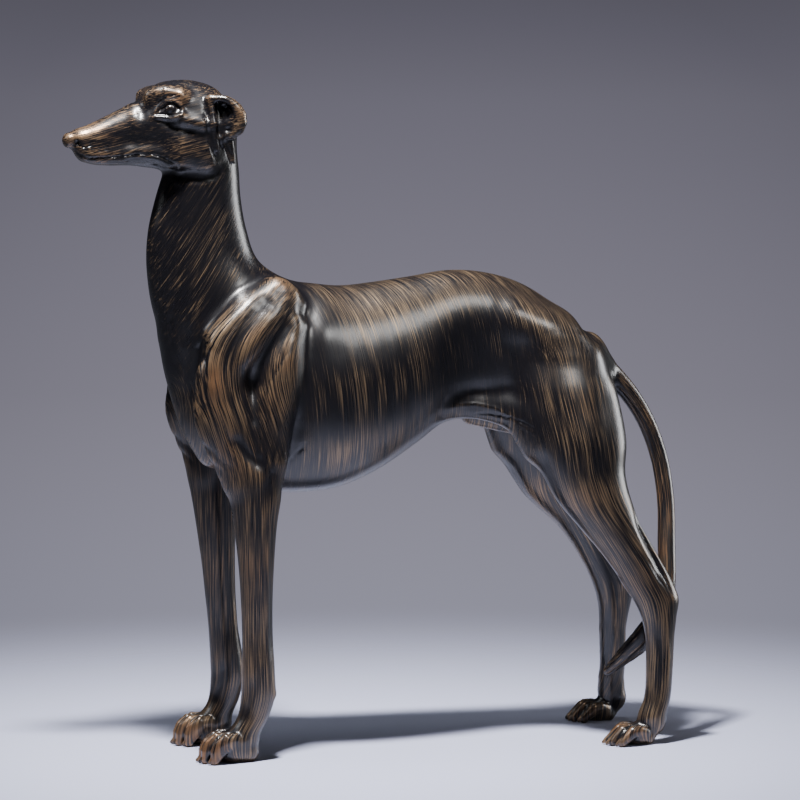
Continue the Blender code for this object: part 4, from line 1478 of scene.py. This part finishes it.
@dataclass
class Whippet:
    """The whole figurine: its sub-assemblies, its casting and its place."""

    stance: Stance = field(default_factory=Stance)

    def __post_init__(self) -> None:
        """Makes the parts that the brushwork follows."""
        self.trunk = Trunk()
        self.fore = Forequarters(self.stance)
        self.hind = Hindquarters(self.stance)
        self.tail = Tail()

    def sub_assemblies(self) -> List[SubAssembly]:
        """Every part of the dog, in the order in which it is blended."""
        s = self.stance
        paws = []
        for side, fore_back, hind_back, sway in ((Side.LEFT, 0.0, 0.0, s.sway),
                                                 (Side.RIGHT, 1.6, s.stagger, -s.sway)):
            paws.append(Paw(side, Region.HINDLEG, 102.8 + hind_back, s.half_hind + sway,
                            0.8, 0.72))
            paws.append(Paw(side, Region.FORELEG, -109.8 + fore_back,
                            s.half_fore + sway / 2.0, 1.14, 1.14))
        return [self.trunk, Neck(), Head(), Ears(), self.fore, self.hind, *paws, self.tail]

    def build(self) -> bpy.types.Object:
        """Casts, gilds and places the dog.

        Returns:
            The finished object, in metres, over the model's own node.
        """
        parts = self.sub_assemblies()
        casting = Casting(parts, self.stance.sole_depth)
        mesh, proud, line_gold = casting.made()
        brushwork = Brushwork(self.hind.leg_column(Side.LEFT), self.fore.leg_column(Side.LEFT),
                              self.tail.limb(), self.trunk.forms()[0])
        Gilding(parts, casting.forms, brushwork).paint(mesh, proud, line_gold)
        self.place(mesh)
        mesh.name = PIECE
        for face in mesh.polygons:
            face.use_smooth = True
        return linked(PIECE, mesh)

    def place(self, mesh: bpy.types.Mesh) -> None:
        """Turns millimetres into metres over the middle of the model's box.

        Args:
            mesh: the skin, changed in place.
        """
        points = Casting.coordinates(mesh) / 1000.0
        low, high = (Vector(corner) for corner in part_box(NODE))
        middle = (points.min(axis=0) + points.max(axis=0)) / 2.0
        points[:, 0] += (low.x + high.x) / 2.0 - middle[0]
        points[:, 1] += (low.y + high.y) / 2.0 - middle[1]
        points[:, 2] += low.z - points[:, 2].min()
        Casting.put(mesh, points)


class Nodes:
    """Adds and links shader nodes of one material."""

    NOISE_ROUGHNESS = 0.55

    def __init__(self, tree: bpy.types.NodeTree) -> None:
        """Keeps the tree."""
        self.tree = tree

    def add(self, kind: str, **settings: object) -> bpy.types.Node:
        """A new node of a kind, with its settings."""
        node = self.tree.nodes.new(kind)
        for name, value in settings.items():
            setattr(node, name, value)
        return node

    def link(self, source: bpy.types.NodeSocket, target: bpy.types.NodeSocket) -> None:
        """Joins two sockets."""
        self.tree.links.new(source, target)

    def attribute(self, name: str) -> bpy.types.Node:
        """A node that reads one of the mesh's attributes."""
        return self.add("ShaderNodeAttribute", attribute_name=name)

    def math(self, operation: str, first: object, second: object = 0.0,
             clamp: bool = False) -> bpy.types.NodeSocket:
        """One sum on two numbers or sockets.

        Args:
            operation: the node's operation.
            first: number or socket.
            second: number or socket.
            clamp: whether the result is kept between 0 and 1.

        Returns:
            The result's socket.
        """
        node = self.add("ShaderNodeMath", operation=operation, use_clamp=clamp)
        for socket, value in zip(node.inputs, (first, second)):
            self.feed(socket, value)
        return node.outputs[0]

    def swing(self, noise: object, strength: float) -> bpy.types.NodeSocket:
        """How far a noise is from its middle, by a strength."""
        return self.math("MULTIPLY", self.math("SUBTRACT", noise, 0.5), strength)

    def feed(self, socket: bpy.types.NodeSocket, value: object) -> None:
        """Links a socket, or sets the number on it."""
        if isinstance(value, bpy.types.NodeSocket):
            self.link(value, socket)
        else:
            socket.default_value = value

    def stretched(self, name: str, scale: Tuple[float, float, float]) -> bpy.types.NodeSocket:
        """Stroke coordinates of one layer, scaled along each direction."""
        node = self.add("ShaderNodeVectorMath", operation="MULTIPLY")
        self.link(self.attribute(name).outputs["Vector"], node.inputs[0])
        node.inputs[1].default_value = scale
        return node.outputs[0]

    def noise(self, vector: bpy.types.NodeSocket, detail: float,
              scale: float = 1.0) -> bpy.types.NodeSocket:
        """Noise along a vector, about 0.5 on average."""
        node = self.add("ShaderNodeTexNoise", noise_dimensions="3D")
        node.inputs["Scale"].default_value = scale
        node.inputs["Detail"].default_value = detail
        node.inputs["Roughness"].default_value = self.NOISE_ROUGHNESS
        self.link(vector, node.inputs["Vector"])
        return node.outputs["Fac"]

    def mix(self, factor: object, first: object, second: object) -> bpy.types.NodeSocket:
        """A blend of two colours."""
        node = self.add("ShaderNodeMix", data_type="RGBA")
        self.feed(node.inputs[0], factor)
        self.feed(node.inputs[6], first)
        self.feed(node.inputs[7], second)
        return node.outputs[2]

    def between(self, value: object, low: float, high: float, to_low: float = 0.0,
                to_high: float = 1.0, smooth: bool = True) -> bpy.types.NodeSocket:
        """A value taken from one span to another."""
        node = self.add("ShaderNodeMapRange",
                        interpolation_type="SMOOTHSTEP" if smooth else "LINEAR")
        self.feed(node.inputs["Value"], value)
        for name, number in (("From Min", low), ("From Max", high), ("To Min", to_low),
                             ("To Max", to_high)):
            node.inputs[name].default_value = number
        return node.outputs["Result"]


def principled(name: str) -> Tuple[bpy.types.Material, Nodes, bpy.types.Node]:
    """A new material, its node maker and its shader."""
    made = bpy.data.materials.new(name)
    made.use_nodes = True
    return made, Nodes(made.node_tree), made.node_tree.nodes["Principled BSDF"]


@dataclass(frozen=True)
class BrushedLacquer:
    """Black lacquer dragged over with a nearly dry brush of gold and copper."""

    black: Tuple[float, ...] = (0.0035, 0.0032, 0.0048, 1.0)
    umber: Tuple[float, ...] = (0.015, 0.0105, 0.0085, 1.0)
    gold: Tuple[float, ...] = (0.30, 0.215, 0.132, 1.0)
    copper: Tuple[float, ...] = (0.28, 0.150, 0.078, 1.0)
    roughness: float = 0.29     # of the bare lacquer
    brushed: float = 0.36       # of the gold
    coat: float = 0.12
    coat_roughness: float = 0.25
    relief: float = 0.00022     # metres that a streak stands up, in the bump alone
    relief_strength: float = 0.35
    cloud_scale: float = 42.0   # broad patches where the brush was fuller or drier
    speck_scale: float = 900.0  # grain within a streak
    fine_weight: float = 1.75
    broad_weight: float = 0.25
    gold_weight: float = 0.52
    cloud_weight: float = 0.20
    speck_weight: float = 0.08
    most_metal: float = 0.95
    fine_stretch: Tuple[float, ...] = (2.1, 2.1, 0.036)
    broad_stretch: Tuple[float, ...] = (0.34, 0.34, 0.024)
    metal_span: Tuple[float, float] = (0.40, 1.0)
    veil_span: Tuple[float, float] = (0.26, 0.62)

    def layered(self, n: Nodes, scale: Tuple[float, float, float], detail: float,
                shares: bpy.types.Node) -> bpy.types.NodeSocket:
        """One noise in all three stroke layers, mixed by how far each rules.

        Args:
            n: the node maker.
            scale: how the stroke coordinates are stretched.
            detail: the noise's detail.
            shares: node that splits the layers' shares.

        Returns:
            The mixed value.
        """
        total: Optional[bpy.types.NodeSocket] = None
        for letter, share in zip("abc", shares.outputs):
            value = n.noise(n.stretched(f"strokes_{letter}", scale), detail)
            part = n.math("MULTIPLY", value, share)
            total = part if total is None else n.math("ADD", total, part)
        return total

    def material(self) -> bpy.types.Material:
        """Makes the material.

        Returns:
            The finished material.
        """
        made, n, shader = principled(SLOT)
        shares = n.add("ShaderNodeSeparateXYZ")
        n.link(n.attribute("shares").outputs["Vector"], shares.inputs[0])
        gilt = n.attribute("gilt").outputs["Fac"]
        warm = n.attribute("copper").outputs["Fac"]
        fine = self.layered(n, self.fine_stretch, 2.0, shares)
        broad = self.layered(n, self.broad_stretch, 1.0, shares)
        place = n.add("ShaderNodeTexCoord").outputs["Object"]
        cloud = n.noise(place, 3.0, self.cloud_scale)
        speck = n.noise(place, 2.0, self.speck_scale)
        heat = n.math("ADD", n.swing(fine, self.fine_weight), 0.5)
        for noise, weight in ((broad, self.broad_weight), (gilt, self.gold_weight),
                              (cloud, self.cloud_weight), (speck, self.speck_weight)):
            heat = n.math("ADD", heat, n.swing(noise, weight))
        amount = n.between(heat, *self.metal_span)
        veil = n.between(heat, *self.veil_span)
        metal = n.mix(n.math("MULTIPLY", warm, n.between(cloud, 0.35, 0.65, 0.5, 1.2), True),
                      self.gold, self.copper)
        ground = n.mix(veil, self.black, self.umber)
        n.link(n.mix(amount, ground, metal), shader.inputs["Base Color"])
        n.link(n.math("MULTIPLY", amount, self.most_metal), shader.inputs["Metallic"])
        rough = n.between(amount, 0.0, 1.0, self.roughness, self.brushed)
        n.link(n.math("ADD", rough, n.swing(fine, 0.12)), shader.inputs["Roughness"])
        shader.inputs["Coat Weight"].default_value = self.coat
        shader.inputs["Coat Roughness"].default_value = self.coat_roughness
        shader.inputs["IOR"].default_value = 1.5
        bump = n.add("ShaderNodeBump")
        bump.inputs["Strength"].default_value = self.relief_strength
        bump.inputs["Distance"].default_value = self.relief
        n.link(n.math("ADD", fine, n.math("MULTIPLY", speck, 0.12)), bump.inputs["Height"])
        n.link(bump.outputs["Normal"], shader.inputs["Normal"])
        return made


@dataclass(frozen=True)
class PalePaint:
    """Matt pale floor that runs out into the backdrop all round; the fade also paints the pool of
    light round the dog, darker outward.
    """

    colour: Tuple[float, ...] = (0.46, 0.488, 0.66, 1.0)
    whole_reach: float = 0.06   # metres from the middle up to which it hides the backdrop
    gone_reach: float = 0.56    # and from which it no longer shows

    def material(self) -> bpy.types.Material:
        """Makes the material."""
        made, n, shader = principled("pale_floor")
        length = n.add("ShaderNodeVectorMath", operation="LENGTH")
        n.link(n.add("ShaderNodeTexCoord").outputs["Object"], length.inputs[0])
        # Painted pool of light: the floor fades outward into the darker backdrop.
        fade = n.between(length.outputs["Value"], self.whole_reach, self.gone_reach, 1.0, 0.0)
        n.link(fade, shader.inputs["Alpha"])
        shader.inputs["Base Color"].default_value = self.colour
        shader.inputs["Roughness"].default_value = 0.7
        shader.inputs["Specular IOR Level"].default_value = 0.2
        return made


@dataclass
class SoftLight:
    """One rectangular softbox aimed at the dog; unless it fills, only gloss shows it."""

    name: str
    place: Tuple[float, float, float]
    size: Tuple[float, float]
    power: float
    colour: Tuple[float, float, float] = (1.0, 1.0, 1.0)
    fills: bool = False
    aim: Tuple[float, float, float] = (0.0, 0.0, 0.18)

    def build(self) -> bpy.types.Object:
        """Places the softbox.

        Returns:
            The light.
        """
        data = bpy.data.lights.new(self.name, "AREA")
        data.shape = "RECTANGLE"
        data.size, data.size_y = self.size
        data.energy = self.power
        data.color = self.colour
        lamp = linked(self.name, data)
        lamp.location = self.place
        lamp.visible_diffuse = self.fills
        to = Vector(self.aim) - Vector(self.place)
        lamp.rotation_euler = to.to_track_quat("-Z", "Y").to_euler()
        return lamp


@dataclass
class Studio:
    """Floor, backdrop light, softboxes and camera."""

    floor_radius: float = 0.7
    floor_sides: int = 96
    # Painted backdrop seen straight on by the camera: a gradient of painted light, lighter below
    # the horizon than above it.
    painted_backdrop_steps: Rows = ((-0.30, 0.40, 0.41, 0.53), (-0.15, 0.33, 0.335, 0.43),
                            (-0.11, 0.285, 0.276, 0.345), (-0.075, 0.235, 0.2245, 0.278),
                            (0.0, 0.165, 0.1575, 0.20), (0.03, 0.118, 0.1125, 0.146),
                            (0.25, 0.085, 0.082, 0.103), (0.60, 0.16, 0.1625, 0.19))
    room_steps: Rows = ((-0.60, 0.20, 0.205, 0.25), (-0.15, 0.12, 0.125, 0.15),
                        (-0.02, 0.04, 0.04, 0.05), (0.06, 0.012, 0.012, 0.015),
                        (0.50, 0.012, 0.012, 0.015), (1.0, 0.04, 0.04, 0.045))
    # Painted vignette: the backdrop that the camera sees darkens towards the edges of the view.
    rim: float = 0.992          # cosine of the angle from the view's middle at which
    painted_vignette_share: float = 0.8      # the backdrop has this share of its light
    azimuth: float = -18.0
    pitch: float = 4.43
    camera_place: Tuple[float, float, float] = (-0.5958, -1.8764, 0.330)
    lens: float = 174.15

    def lights(self) -> List[SoftLight]:
        """Key and top box light the scene; the other three show only in reflections."""
        return [
            SoftLight("key", (-0.17, -0.22, 0.96), (0.09, 0.09), 31.0, (1.0, 0.98, 0.97), True),
            SoftLight("top_box", (-0.20, 0.10, 1.35), (0.8, 0.5), 4.2, (0.96, 0.98, 1.0), True),
            SoftLight("side_box", (0.50, -0.90, 1.06), (0.26, 0.34), 7.0, (1.0, 0.99, 0.97)),
            SoftLight("front_box", (-1.15, 0.25, 1.00), (0.5, 0.5), 4.5, (0.94, 0.97, 1.0)),
            SoftLight("rear_box", (1.50, 0.16, 0.42), (0.5, 0.75), 15.0, (0.97, 0.98, 1.0)),
        ]

    def floor(self) -> bpy.types.Object:
        """A wide round floor."""
        mesh = bpy.data.meshes.new("studio_floor")
        bm = bmesh.new()
        bmesh.ops.create_circle(bm, cap_ends=True, segments=self.floor_sides,
                              radius=self.floor_radius)
        bm.to_mesh(mesh)
        bm.free()
        mesh.materials.append(PalePaint().material())
        floor = linked("studio_floor", mesh)
        return floor

    def backdrop(self) -> None:
        """Light of the room, darker at the horizon than overhead; what the camera sees straight
        on is a painted backdrop instead, lighter below the horizon than above it, with painted
        darkening towards the edges of the view.
        """
        world = bpy.data.worlds.new("studio")
        bpy.context.scene.world = world
        world.use_nodes = True
        n = Nodes(world.node_tree)
        seen = n.add("ShaderNodeLightPath").outputs["Is Camera Ray"]
        away = n.add("ShaderNodeVectorMath", operation="DOT_PRODUCT")
        n.link(n.add("ShaderNodeTexCoord").outputs["Generated"], away.inputs[0])
        turn, tilt = math.radians(90.0 + self.azimuth), math.radians(self.pitch)
        away.inputs[1].default_value = (math.cos(turn) * math.cos(tilt),
                                        math.sin(turn) * math.cos(tilt), -math.sin(tilt))
        lit = n.between(away.outputs["Value"], self.rim, 1.0, self.painted_vignette_share, 1.0, smooth=False)
        dimmed = n.add("ShaderNodeVectorMath", operation="SCALE")
        n.link(self.ramp(n, self.painted_backdrop_steps), dimmed.inputs[0])
        n.link(lit, dimmed.inputs["Scale"])
        shade = n.mix(seen, self.ramp(n, self.room_steps), dimmed.outputs[0])
        n.link(shade, world.node_tree.nodes["Background"].inputs["Color"])

    def ramp(self, n: Nodes, steps: Rows) -> bpy.types.NodeSocket:
        """Colours that change with the height of the direction.

        Args:
            n: the node maker.
            steps: rows of height, red, green and blue.

        Returns:
            The colour's socket.
        """
        split = n.add("ShaderNodeSeparateXYZ")
        n.link(n.add("ShaderNodeTexCoord").outputs["Generated"], split.inputs[0])
        ramp = n.add("ShaderNodeValToRGB")
        low, high = steps[0][0], steps[-1][0]
        while len(ramp.color_ramp.elements) < len(steps):
            ramp.color_ramp.elements.new(0.5)
        for element, (place, *colour) in zip(ramp.color_ramp.elements, steps):
            element.position = (place - low) / (high - low)
            element.color = (*colour, 1.0)
        ramp.color_ramp.interpolation = "B_SPLINE"
        n.link(n.between(split.outputs["Z"], low, high, smooth=False), ramp.inputs["Fac"])
        return ramp.outputs["Color"]

    def camera(self) -> bpy.types.Object:
        """A long lens at the photograph's place and angle."""
        data = bpy.data.cameras.new("camera")
        data.sensor_width = 36.0
        data.lens = self.lens
        data.clip_start = 0.05
        data.clip_end = 60.0
        camera = linked("camera", data)
        camera.location = self.camera_place
        camera.rotation_euler = (math.radians(90.0 - self.pitch), 0.0,
                                 math.radians(self.azimuth))
        bpy.context.scene.camera = camera
        return camera

    def build(self) -> None:
        """Sets everything up."""
        self.camera()
        self.floor()
        self.backdrop()
        for light in self.lights():
            light.build()


def main() -> None:
    """Builds the studio and the dog, and reports each piece."""
    logging.basicConfig(level=logging.INFO, format="%(name)s: %(message)s")
    Studio().build()
    dog = Whippet().build()
    dog.data.materials.clear()
    dog.data.materials.append(BrushedLacquer().material())
    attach(dog, BODY)
    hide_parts(NODE)
    LOG.info("%s: %d faces", dog.name, len(dog.data.polygons))


if __name__ == "__main__":
    main()
